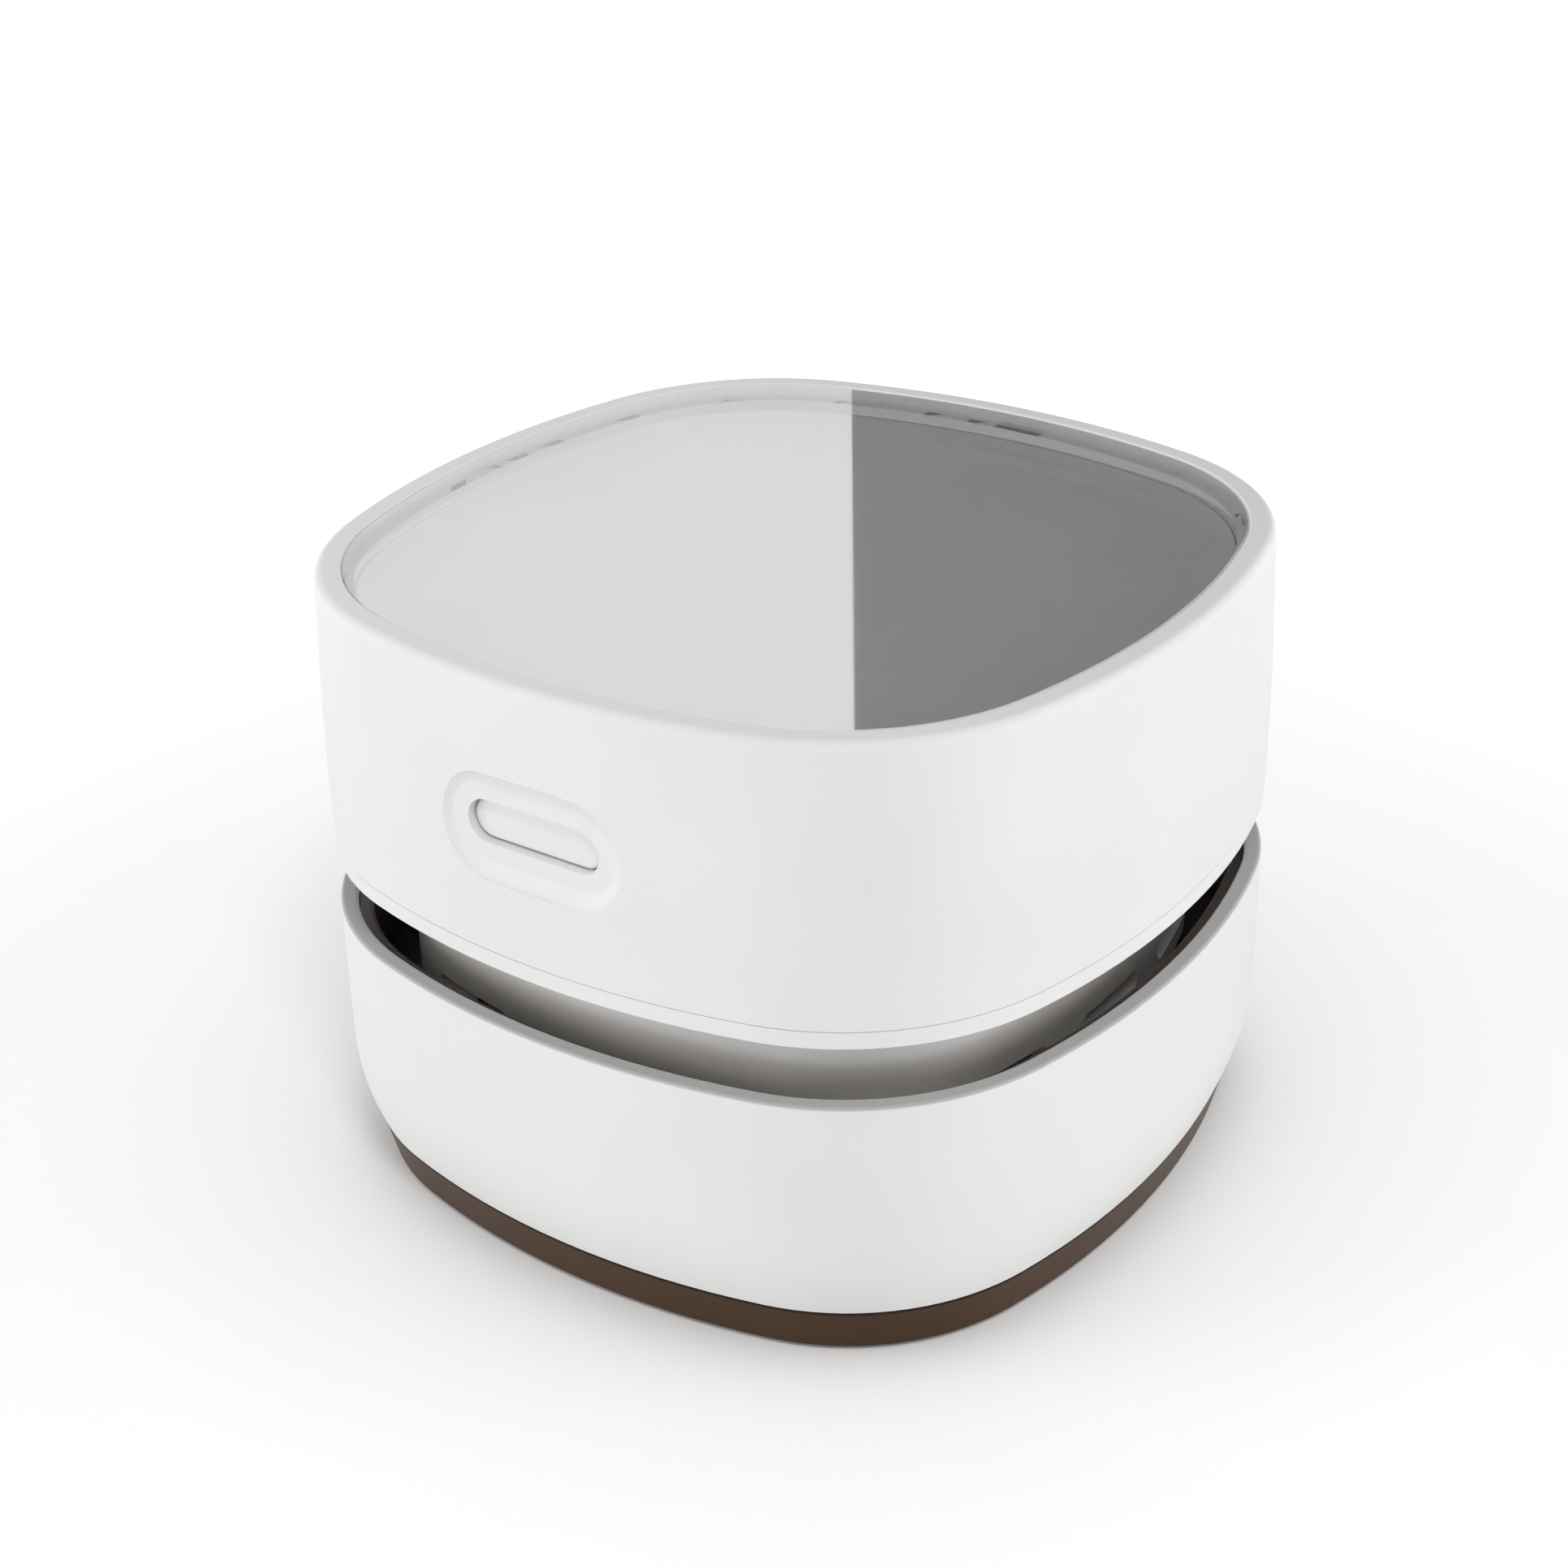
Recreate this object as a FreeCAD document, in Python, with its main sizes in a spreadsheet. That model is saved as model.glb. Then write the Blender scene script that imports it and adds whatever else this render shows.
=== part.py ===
import FreeCAD, Part
import math
import os
import re
import Sketcher

# Desktop mini vacuum cleaner, millimetres, +Z up, button on the -Y face.
# The origin is the middle of the footprint on the desk.
# A battery-driven power unit stands in a dust base. The fan draws air up the
# intake chimney, through the filter and the eye of the fan housing, and lets
# it out through the gap between the two shells.

SIZES = {
    # plan: a square with bowed sides and round corners, as eight tangent arcs
    "half_width": 42.0,
    "side_radius": 81.4,
    "corner_radius": 25.6,
    # heights, from the desk upwards
    "foot_height": 0.4,
    "base_height": 4.8,
    "lower_height": 23.0,
    "gap_height": 5.9,
    "ring_height": 1.6,
    "upper_height": 26.7,
    # upper shell
    "seam_inset": 0.13,
    "seam_round": 0.25,
    "crown_height": 10.3,
    "crown_radius": 250.0,
    "top_inset": 0.76,
    "edge_round": 0.9,
    "upper_wall": 2.1,
    "cover_inset": 3.24,
    "rim_round": 0.2,
    "cover_thickness": 1.45,
    "cover_drop": 0.08,
    "ledge_width": 1.06,
    "deck_drop": 2.7,
    "deck_thickness": 2.0,
    "shelf_width": 1.9,
    "shelf_thickness": 1.5,
    "snug": 0.1,
    # button in its dish
    "button_height": 12.65,
    "dish_half": 5.05,
    "dish_radius": 5.35,
    "dish_border": 1.5,
    "dish_depth": 1.0,
    "slot_half": 5.1,
    "slot_radius": 2.1,
    "guide_depth": 2.2,
    "guide_wall": 1.6,
    "button_gap": 0.15,
    "button_recess": 0.7,
    "button_round": 0.35,
    "button_travel": 1.2,
    "flange_width": 0.9,
    "flange_thickness": 1.0,
    "plunger_radius": 1.5,
    "plunger_reach": 2.6,
    "switch_width": 6.2,
    "switch_depth": 3.6,
    "board_thickness": 1.6,
    "board_width": 28.0,
    "board_height": 19.5,
    # corner bosses and long case screws
    "boss_reach": 35.5,
    "boss_radius": 2.7,
    "boss_height": 6.5,
    "rib_width": 1.4,
    "screw_radius": 1.0,
    "screw_hole": 1.15,
    "screw_head_radius": 1.9,
    "screw_head_height": 1.3,
    "screw_head_room": 0.15,
    "screw_bite": 5.0,
    # plate under the upper shell, which shows as a thin ring
    "ring_inset": 0.22,
    "lip_height": 2.4,
    "lip_width": 1.5,
    # fan housing, which shows as the neck in the exhaust gap
    "neck_inset": 7.2,
    "neck_wall": 1.6,
    "neck_depth": 15.2,
    "eye_radius": 12.5,
    "window_half": 5.4,
    "window_radius": 1.2,
    "window_pitch": 16.0,
    "spigot_margin": 4.6,
    "spigot_wall": 1.5,
    "spigot_depth": 5.4,
    "seal_width": 2.8,
    "seal_thickness": 0.8,
    # impeller
    "impeller_radius": 26.0,
    "blade_count": 9,
    "blade_start": 8.0,
    "blade_radius": 17.0,
    "blade_swing": 14.2,
    "blade_height": 9.5,
    "blade_thickness": 1.2,
    "impeller_gap": 1.0,
    "back_thickness": 1.2,
    "hub_radius": 5.0,
    "shaft_radius": 1.0,
    "shaft_fit": 0.03,
    "bearing_fit": 0.08,
    # motor
    "motor_radius": 12.0,
    "motor_wall": 1.0,
    "motor_height": 18.3,
    "motor_boss_radius": 3.0,
    "motor_boss_height": 1.4,
    "bell_height": 2.4,
    "magnet_thickness": 1.4,
    "air_gap": 0.5,
    "rotor_height": 12.0,
    "rotor_slot": 1.6,
    "motor_screw_reach": 8.0,
    "motor_screw_radius": 1.0,
    "motor_screw_head": 1.8,
    # battery
    "cell_radius": 7.1,
    "cell_length": 43.0,
    "cell_margin": 17.0,
    "cell_lift": 9.2,
    "cradle_length": 40.0,
    "cradle_width": 12.0,
    "cell_fit": 0.1,
    # charging socket in the rear wall
    "socket_half_width": 4.5,
    "socket_half_height": 1.6,
    "socket_wall": 0.35,
    "socket_length": 7.3,
    "socket_lift": 5.2,
    "socket_drop": 0.5,
    "port_gap": 0.3,
    "charger_width": 15.0,
    "charger_length": 6.6,
    "charger_thickness": 1.0,
    "post_width": 2.4,
    # lower shell
    "base_inset": 1.65,
    "lower_edge_inset": 0.05,
    "lower_round": 0.35,
    "belly_height": 4.4,
    "belly_radius": 21.0,
    "lower_wall": 1.7,
    "waist_height": 6.8,
    "waist_inset": 3.4,
    # dust cup
    "cup_wall": 1.3,
    "cup_drop": 0.9,
    "cup_floor": 1.8,
    "collar_drop": 10.3,
    "collar_thickness": 1.4,
    "collar_step": 1.0,
    "collar_fit": 0.3,
    "cup_boss_height": 3.2,
    # filter
    "filter_gap": 0.3,
    "filter_height": 3.6,
    "filter_rim": 2.0,
    "filter_lift": 0.5,
    "spoke_width": 1.6,
    "spoke_height": 0.8,
    "mesh_thickness": 0.5,
    # base plate
    "base_foot_inset": 2.87,
    "base_floor": 1.8,
    "base_rail": 3.6,
    "mouth_radius": 23.0,
    "mouth_depth": 2.6,
    "mouth_wall": 2.0,
    # intake nozzle and brush
    "intake_radius": 9.0,
    "intake_wall": 1.2,
    "intake_rise": 4.4,
    "brush_inner": 14.0,
    "brush_outer": 19.0,
    "brush_holder": 1.2,
    "tuft_count": 24,
    "tuft_radius": 0.85,
    "tuft_clear": 0.15,
    # fasteners and feet of the base
    "base_screw_reach": 31.0,
    "foot_reach": 36.0,
    "foot_radius": 3.2,
    "foot_seat": 0.6,
    "foot_gap": 0.1,
    # wires
}

doc = FreeCAD.newDocument("DesktopVacuum")
sheet = doc.addObject("Spreadsheet::Sheet", "sizes")
for row, (word, number) in enumerate(SIZES.items(), start=1):
    sheet.set(f"A{row}", word)
    sheet.set(f"B{row}", str(number))
    sheet.setAlias(f"B{row}", word)
doc.recompute()

# Heights that several pieces share, as sums of the sizes.
SEAT = "(foot_height + base_height)"
LOWER_TOP = f"({SEAT} + lower_height)"
RING_BOTTOM = f"({LOWER_TOP} + gap_height)"
RING_TOP = f"({RING_BOTTOM} + ring_height)"
RIM = f"({RING_TOP} + upper_height)"
LEDGE = f"({RIM} - cover_thickness - cover_drop)"
DECK_TOP = f"({RIM} - deck_drop)"
SHELF = f"({DECK_TOP} - deck_thickness)"
BUTTON_Z = f"({RING_TOP} + button_height)"
NECK_FLOOR = f"({RING_BOTTOM} - neck_depth)"
NECK_INSIDE = f"({NECK_FLOOR} + neck_wall)"
COLLAR_TOP = f"({LOWER_TOP} - collar_drop)"
CUP_FLOOR = f"({SEAT} + cup_floor)"
BLADE_BOTTOM = f"({NECK_INSIDE} + impeller_gap)"
MOUTH_ROOF = "(foot_height + mouth_depth)"
INTAKE_TOP = f"({SEAT} + intake_rise)"
MOTOR_TOP = f"({RING_TOP} + motor_height)"
DISH_FACE = "(half_width - dish_depth - 0.2)"
BUTTON_FACE = f"({DISH_FACE} - button_recess)"
GUIDE_FACE = "(half_width - upper_wall - guide_depth + 1)"
CELL_Z = f"({RING_TOP} + cell_lift)"
SOCKET_Z = f"({RING_TOP} + socket_lift)"
WELL = "(cover_inset + ledge_width)"
FLANGE = f"({GUIDE_FACE} - snug)"
SWITCH_FACE = f"({FLANGE} - flange_thickness - button_travel - 2 * snug)"
BOARD_FACE = f"({SWITCH_FACE} - switch_depth)"
SPIGOT = "(half_width - neck_inset - spigot_margin)"
CELL_Y = "(half_width - cell_margin)"

pieces = []
NAMES = re.compile("|".join(rf"\b{word}\b" for word in sorted(SIZES, key=len, reverse=True)))


def bound(text):
    """The expression with every size name pointed at the sheet."""
    return NAMES.sub(lambda found: "<<sizes>>." + found.group(0), text)


def value(text):
    """The number that an expression in size names has now."""
    return float(sheet.evalExpression(text))


def spot(x, y):
    return FreeCAD.Vector(value(x), value(y), 0)


def new_body(label):
    body = doc.addObject("PartDesign::Body", label)
    body.Label = label
    body.AllowCompound = True
    pieces.append(body)
    return body


def new_sketch(body, name, role="XY_Plane", level="0", turn=0.0):
    """A sketch on one of the body's own planes, moved along its normal by level."""
    sketch = body.newObject("Sketcher::SketchObject", name)
    plane = next(part for part in body.Origin.OriginFeatures if part.Role == role)
    sketch.AttachmentSupport = [(plane, "")]
    sketch.MapMode = "FlatFace"
    turned = FreeCAD.Rotation(FreeCAD.Vector(0, 0, 1), turn)
    sketch.AttachmentOffset = FreeCAD.Placement(FreeCAD.Vector(), turned)
    if level != "0":
        sketch.setExpression("AttachmentOffset.Base.z", bound(level))
    return sketch


def fix(sketch, kind, *what):
    return sketch.addConstraint(Sketcher.Constraint(kind, *what))


def pin(sketch, item, end, x, y):
    """Hold a point of the sketch at x, y from the sketch's origin."""
    for kind, axis, text in (("DistanceX", -2, x), ("DistanceY", -1, y)):
        if text == "0":
            fix(sketch, "PointOnObject", item, end, axis)
        else:
            number = fix(sketch, kind, -1, 1, item, end, value(text))
            sketch.setExpression(f"Constraints[{number}]", bound(text))


def hold_radius(sketch, item, radius):
    number = fix(sketch, "Radius", item, value(radius))
    sketch.setExpression(f"Constraints[{number}]", bound(radius))


def circle(sketch, x, y, radius):
    shape = Part.Circle(spot(x, y), FreeCAD.Vector(0, 0, 1), value(radius))
    item = sketch.addGeometry(shape, False)
    pin(sketch, item, 3, x, y)
    hold_radius(sketch, item, radius)


def eased(corners):
    """Each flat corner as its two cut points, on the runs before and after it."""
    made = []
    for i, corner in enumerate(corners):
        if len(corner) < 4:
            made.append(corner)
            continue
        for near in (corners[i - 1], corners[(i + 1) % len(corners)]):
            if abs(value(near[0]) - value(corner[0])) < 1e-6:
                sign = "+" if value(near[1]) > value(corner[1]) else "-"
                made.append((corner[0], f"{corner[1]} {sign} {corner[2]}"))
            else:
                sign = "+" if value(near[0]) > value(corner[0]) else "-"
                made.append((f"{corner[0]} {sign} {corner[2]}", corner[1]))
    return made


def loop(sketch, corners):
    """Closed line through corners (x, y), or (x, y, radius) where one is round.

    A fourth entry, "flat", cuts a square corner off straight instead.
    """
    corners = eased(corners)
    spots = [spot(corner[0], corner[1]) for corner in corners]
    count = len(spots)
    ends = []
    for i, corner in enumerate(corners):
        back = (spots[i - 1] - spots[i]).normalize()
        ahead = (spots[(i + 1) % count] - spots[i]).normalize()
        run = 0.0
        if len(corner) == 3:
            run = value(corner[2]) / math.tan(back.getAngle(ahead) / 2)
        ends.append((spots[i] + back * run, spots[i] + ahead * run, back, ahead))
    lines = []
    for i in range(count):
        lines.append(Part.LineSegment(ends[i][1], ends[(i + 1) % count][0]))
    first = sketch.GeometryCount
    sketch.addGeometry(lines, False)
    for i, corner in enumerate(corners):
        line_in = first + (i - 1) % count
        line_out = first + i
        if len(corner) == 2:
            fix(sketch, "Coincident", line_in, 2, line_out, 1)
            pin(sketch, line_out, 1, corner[0], corner[1])
            continue
        start, stop, back, ahead = ends[i]
        radius = value(corner[2])
        half = back.getAngle(ahead) / 2
        middle = spots[i] + (back + ahead).normalize() * (radius / math.sin(half))
        left = back.cross(ahead).z < 0
        begin, finish = (start, stop) if left else (stop, start)
        angle_1 = math.atan2(begin.y - middle.y, begin.x - middle.x)
        angle_2 = math.atan2(finish.y - middle.y, finish.x - middle.x)
        if angle_2 < angle_1:
            angle_2 += 2 * math.pi
        ring = Part.Circle(middle, FreeCAD.Vector(0, 0, 1), radius)
        arc = sketch.addGeometry(Part.ArcOfCircle(ring, angle_1, angle_2), False)
        tip = sketch.addGeometry(Part.Point(spots[i]), True)
        fix(sketch, "Tangent", line_in, 2, arc, 1 if left else 2)
        fix(sketch, "Tangent", line_out, 1, arc, 2 if left else 1)
        hold_radius(sketch, arc, corner[2])
        pin(sketch, tip, 1, corner[0], corner[1])
        fix(sketch, "PointOnObject", tip, 1, line_in)
        fix(sketch, "PointOnObject", tip, 1, line_out)


def box(sketch, x1, y1, x2, y2):
    loop(sketch, [(x1, y1), (x2, y1), (x2, y2), (x1, y2)])


def stadium(sketch, x, y, half, radius):
    """Two half circles of the radius, their centres at half either side of x, y."""
    right = spot(f"{x} + {half}", y)
    left = spot(f"{x} - {half}", y)
    size = value(radius)
    up = FreeCAD.Vector(0, size, 0)
    axis = FreeCAD.Vector(0, 0, 1)
    first = sketch.GeometryCount
    sketch.addGeometry([
        Part.ArcOfCircle(Part.Circle(right, axis, size), -math.pi / 2, math.pi / 2),
        Part.LineSegment(right + up, left + up),
        Part.ArcOfCircle(Part.Circle(left, axis, size), math.pi / 2, 3 * math.pi / 2),
        Part.LineSegment(left - up, right - up),
    ], False)
    for i in range(4):
        fix(sketch, "Tangent", first + i, 2, first + (i + 1) % 4, 1)
    pin(sketch, first, 3, half if x == "0" else f"{x} + {half}", y)
    pin(sketch, first + 2, 3, f"-{half}" if x == "0" else f"{x} - {half}", y)
    hold_radius(sketch, first, radius)
    fix(sketch, "Equal", first, first + 2)


def squircle(sketch, inset="0"):
    """The plan outline, moved inwards by inset: eight arcs about fixed centres."""
    side = "(side_radius - half_width)"
    reach = value(side)
    big = value(f"side_radius - {inset}")
    small = value(f"corner_radius - {inset}")
    corner = (math.sqrt(2 * (big - small) ** 2 - reach ** 2) - reach) / 2
    lean = math.atan2(corner, corner + reach)
    axis = FreeCAD.Vector(0, 0, 1)
    first = sketch.GeometryCount
    arcs = []
    for quarter in range(4):
        turn = quarter * math.pi / 2
        across = FreeCAD.Vector(math.cos(turn), math.sin(turn), 0)
        along = FreeCAD.Vector(-math.sin(turn), math.cos(turn), 0)
        flat = Part.Circle(across * -reach, axis, big)
        arcs.append(Part.ArcOfCircle(flat, turn - lean, turn + lean))
        bend = Part.Circle((across + along) * corner, axis, small)
        arcs.append(Part.ArcOfCircle(bend, turn + lean, turn + math.pi / 2 - lean))
    sketch.addGeometry(arcs, False)
    for i in range(8):
        fix(sketch, "Tangent", first + i, 2, first + (i + 1) % 8, 1)
    centres = [(f"-{side}", "0"), ("0", f"-{side}"), (side, "0"), ("0", side)]
    for i, (x, y) in enumerate(centres):
        pin(sketch, first + 2 * i, 3, x, y)
        hold_radius(sketch, first + 2 * i, f"side_radius - {inset}")
        hold_radius(sketch, first + 2 * i + 1, f"corner_radius - {inset}")


def outline(body, name, inset, level):
    sketch = new_sketch(body, name, level=level)
    squircle(sketch, inset)
    return sketch


def settle(body, before, sign):
    """Recompute and see that the body grew or shrank as it should."""
    doc.recompute()
    change = body.Shape.Volume - before
    if change * sign <= 1e-6:
        raise RuntimeError(f"{body.Label}: {body.Tip.Label} changed the volume by {change:.4f}")


def feature(body, kind, name, sketch, sign, length=None, flip=False):
    doc.recompute()
    before = body.Shape.Volume if body.Tip else 0.0
    made = body.newObject(f"PartDesign::{kind}", name)
    made.Profile = sketch
    if length is not None:
        made.setExpression("Length", bound(length))
    if flip:
        made.Reversed = True
    settle(body, before, sign)
    return made


def pad(body, name, sketch, length, flip=False):
    return feature(body, "Pad", name, sketch, 1, length, flip)


def pocket(body, name, sketch, length, flip=False):
    """A cut that runs against the sketch's normal, or along it with flip."""
    return feature(body, "Pocket", name, sketch, -1, length, flip)


def turn_about(body, kind, name, sketch, sign):
    doc.recompute()
    before = body.Shape.Volume if body.Tip else 0.0
    made = body.newObject(f"PartDesign::{kind}", name)
    made.Profile = sketch
    made.ReferenceAxis = (sketch, ["V_Axis"])
    made.Angle = 360.0
    settle(body, before, sign)
    return made


def revolve(body, name, corners):
    """A turned piece: half section (radius, height) about the body's Z axis."""
    sketch = new_sketch(body, f"{name}_section", "XZ_Plane")
    loop(sketch, corners)
    return turn_about(body, "Revolution", name, sketch, 1)


def groove(body, name, corners):
    sketch = new_sketch(body, f"{name}_section", "XZ_Plane")
    loop(sketch, corners)
    return turn_about(body, "Groove", name, sketch, -1)


def around(body, name, originals, count, sign):
    """Copies of the features spaced evenly about the Z axis."""
    doc.recompute()
    before = body.Shape.Volume
    made = body.newObject("PartDesign::PolarPattern", name)
    made.Originals = originals
    axis = next(part for part in body.Origin.OriginFeatures if part.Role == "Z_Axis")
    made.Axis = (axis, [""])
    made.Angle = 360.0
    made.setExpression("Occurrences", bound(count))
    body.Tip = made
    settle(body, before, sign)
    return made


def wall_round(body, name, corners):
    """A wall that follows the plan: section (inset, height) swept round it."""
    path = new_sketch(body, f"{name}_path")
    squircle(path)
    section = new_sketch(body, f"{name}_section", "XZ_Plane")
    loop(section, [(f"half_width - ({corner[0]})",) + tuple(corner[1:]) for corner in corners])
    doc.recompute()
    before = body.Shape.Volume if body.Tip else 0.0
    made = body.newObject("PartDesign::AdditivePipe", name)
    made.Profile = section
    made.Spine = (path, [f"Edge{i}" for i in range(1, 9)])
    settle(body, before, 1)
    return made


# Upper shell
shell = new_body("upper_shell")
wall_round(shell, "shell_wall", [
    ("seam_inset", RING_TOP, "seam_round"),
    ("seam_inset", f"{RING_TOP} + crown_height", "crown_radius"),
    ("top_inset", RIM, "edge_round"),
    ("cover_inset", RIM, "rim_round"),
    ("cover_inset", LEDGE),
    (WELL, LEDGE),
    (WELL, SHELF),
    (f"{WELL} + shelf_width", SHELF),
    (f"{WELL} + shelf_width", f"{SHELF} - shelf_thickness"),
    ("upper_wall", f"{SHELF} - shelf_thickness - ({WELL} + shelf_width - upper_wall)"),
    ("upper_wall", RING_TOP),
])

# Guide collar behind the front wall, then the dish and the slot for the button.
collar = new_sketch(shell, "guide_outline", "XZ_Plane", GUIDE_FACE)
stadium(collar, "0", BUTTON_Z, "slot_half", "(slot_radius + guide_wall)")
pad(shell, "button_guide", collar, f"{DISH_FACE} - {GUIDE_FACE}")
rings = []
for step, (depth, border) in enumerate([(-0.6, -0.12), (0.25, 0.1), (0.6, 0.35), (0.88, 0.75), (1.0, 1.0)]):
    ring = new_sketch(shell, f"dish_ring_{step}", "XZ_Plane", f"half_width - 0.2 - dish_depth * {depth}")
    stadium(ring, "0", BUTTON_Z, "dish_half", f"(dish_radius - dish_border * {border})")
    rings.append(ring)
doc.recompute()
solid_before = shell.Shape.Volume
dish = shell.newObject("PartDesign::SubtractiveLoft", "button_dish")
dish.Profile = rings[0]
dish.Sections = rings[1:]
dish.Ruled = True
settle(shell, solid_before, -1)
slot = new_sketch(shell, "slot_outline", "XZ_Plane", f"{GUIDE_FACE} - 1")
stadium(slot, "0", BUTTON_Z, "slot_half", "slot_radius")
pocket(shell, "button_slot", slot, "upper_wall + guide_depth + 2", flip=True)
port = new_sketch(shell, "port_outline", "XZ_Plane", "-(half_width - upper_wall - 1.5)")
stadium(port, "0", SOCKET_Z, "(socket_half_width - socket_half_height)", "(socket_half_height + port_gap)")
pocket(shell, "charging_port", port, "upper_wall + 3")

# Corner bosses for the case screws, each joined to the wall by a rib.
boss = new_sketch(shell, "boss_outline", level=RING_TOP, turn=45)
circle(boss, "boss_reach", "0", "boss_radius")
boss_pad = pad(shell, "boss", boss, "boss_height")
rib = new_sketch(shell, "rib_outline", level=f"{RING_TOP} + lip_height + 0.4", turn=45)
CORNER = (
    "(sqrt(2 * (side_radius - corner_radius)^2 - (side_radius - half_width)^2)"
    " - (side_radius - half_width))"
)
CORNER_WALL = f"({CORNER} * sqrt(2) / 2 + corner_radius - upper_wall)"
box(rib, "boss_reach + boss_radius - 0.8", "-rib_width / 2", f"{CORNER_WALL} + 0.6", "rib_width / 2")
rib_pad = pad(shell, "boss_rib", rib, "boss_height - lip_height - 0.4")
around(shell, "bosses", [boss_pad, rib_pad], "4", 1)
pilot = new_sketch(shell, "pilot_outline", level=RING_TOP, turn=45)
circle(pilot, "boss_reach", "0", "screw_hole")
pilot_cut = pocket(shell, "pilot_hole", pilot, "screw_bite + 1", flip=True)
around(shell, "pilot_holes", [pilot_cut], "4", -1)

# Clear cover and the deck under it
cover = new_body("clear_cover")
wall_round(cover, "cover_edge", [
    ("cover_inset + snug", LEDGE),
    ("cover_inset + snug", f"{LEDGE} + cover_thickness", "rim_round"),
    ("cover_inset + 3", f"{LEDGE} + cover_thickness"),
    ("cover_inset + 3", LEDGE),
])
pad(cover, "cover_pane", outline(cover, "pane_outline", "(cover_inset + 2.9)", LEDGE), "cover_thickness")
deck = new_body("deck_panel")
pad(deck, "deck_pane", outline(deck, "deck_outline", f"({WELL} + snug)", SHELF), "deck_thickness")

# Plate under the upper shell
plate = new_body("chassis_plate")
pad(plate, "ring_plate", outline(plate, "ring_outline", "ring_inset", RING_BOTTOM), "ring_height")
wall_round(plate, "locating_lip", [
    ("upper_wall + snug", f"{RING_TOP} - 0.5"),
    ("upper_wall + snug", f"{RING_TOP} + lip_height"),
    ("upper_wall + snug + lip_width", f"{RING_TOP} + lip_height"),
    ("upper_wall + snug + lip_width", f"{RING_TOP} - 0.5"),
])
hole = new_sketch(plate, "motor_hole", level=RING_BOTTOM)
circle(hole, "0", "0", "motor_boss_radius + 0.1")
circle(hole, "motor_screw_reach", "0", "motor_screw_radius + 0.1")
circle(hole, "-motor_screw_reach", "0", "motor_screw_radius + 0.1")
pocket(plate, "motor_seat", hole, "ring_height", flip=True)
hole = new_sketch(plate, "case_hole", level=RING_BOTTOM, turn=45)
circle(hole, "boss_reach", "0", "screw_hole")
around(plate, "case_holes", [pocket(plate, "case_way", hole, "ring_height", flip=True)], "4", -1)
# Slotted posts hold the control board, low posts carry the charging board.
posts = new_sketch(plate, "board_posts", level=f"{RING_TOP} - 0.2")
for side in ("-1", "1"):
    edge = f"{side} * (board_width / 2 + snug)"
    away = f"{side} * (board_width / 2 + post_width)"
    inner = f"{side} * (board_width / 2 - post_width / 2)"
    front = f"-({BOARD_FACE} + post_width / 2)"
    face = f"-({BOARD_FACE} + snug)"
    back = f"-({BOARD_FACE} - board_thickness - snug)"
    rear = f"-({BOARD_FACE} - board_thickness - post_width / 2)"
    loop(posts, [(inner, front), (away, front), (away, rear), (inner, rear),
                 (inner, back), (edge, back), (edge, face), (inner, face)])
pad(plate, "board_holders", posts, "board_height / 2")
SOCKET_FACE = "(half_width - socket_drop)"
CHARGER_TOP = f"({SOCKET_Z} - socket_half_height)"
CHARGER_BACK = f"({SOCKET_FACE} - socket_length - 1.4)"
posts = new_sketch(plate, "charger_posts", level=f"{RING_TOP} - 0.2")
for side in ("-1", "1"):
    for start in (CHARGER_BACK, f"({CHARGER_BACK} + charger_length - post_width)"):
        box(posts, f"{side} * (charger_width / 2 - post_width)", start,
            f"{side} * charger_width / 2", f"{start} + post_width")
pad(plate, "charger_stands", posts, f"{CHARGER_TOP} - charger_thickness - {RING_TOP} + 0.2")

# Fan housing: neck, floor with the eye, spigot for the filter
neck = new_body("neck_housing")
pad(neck, "neck_block", outline(neck, "neck_outline", "neck_inset", NECK_FLOOR), "neck_depth")
inside = outline(neck, "neck_hollow", "(neck_inset + neck_wall)", NECK_INSIDE)
pocket(neck, "fan_room", inside, "neck_depth", flip=True)
post = new_sketch(neck, "post_outline", level=f"{NECK_INSIDE} - 0.2", turn=45)
circle(post, "boss_reach", "0", "boss_radius")
post_pad = pad(neck, "screw_post", post, "neck_depth - neck_wall + 0.2")
around(neck, "screw_posts", [post_pad], "4", 1)
spigot = new_sketch(neck, "spigot_outline", level=f"{NECK_FLOOR} - spigot_depth")
circle(spigot, "0", "0", SPIGOT)
circle(spigot, "0", "0", f"{SPIGOT} - spigot_wall")
pad(neck, "spigot", spigot, "spigot_depth")
eye = new_sketch(neck, "eye_outline", level=NECK_FLOOR)
circle(eye, "0", "0", "eye_radius")
pocket(neck, "fan_eye", eye, "neck_wall", flip=True)
way = new_sketch(neck, "screw_way_outline", level=NECK_FLOOR, turn=45)
circle(way, "boss_reach", "0", "screw_hole")
way_cut = pocket(neck, "screw_way", way, "neck_depth", flip=True)
well = new_sketch(neck, "head_well_outline", level=NECK_FLOOR, turn=45)
circle(well, "boss_reach", "0", "screw_head_radius + screw_head_room")
well_cut = pocket(neck, "head_well", well, "screw_head_height + screw_head_room", flip=True)
around(neck, "screw_ways", [way_cut, well_cut], "4", -1)
window = new_sketch(neck, "window_outline", "XZ_Plane", "half_width - neck_inset - neck_wall - 2")
for place in ("0", "window_pitch", "-window_pitch"):
    middle = f"({NECK_INSIDE} + window_radius + 0.3)"
    stadium(window, place, middle, "(window_half - window_radius)", "window_radius")
window_cut = pocket(neck, "window_row", window, "neck_wall + 4", flip=True)
around(neck, "exhaust_windows", [window_cut], "4", -1)
seal = new_body("seal_ring")
SEAL_IN = f"({SPIGOT} + collar_fit + 0.4)"
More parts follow.
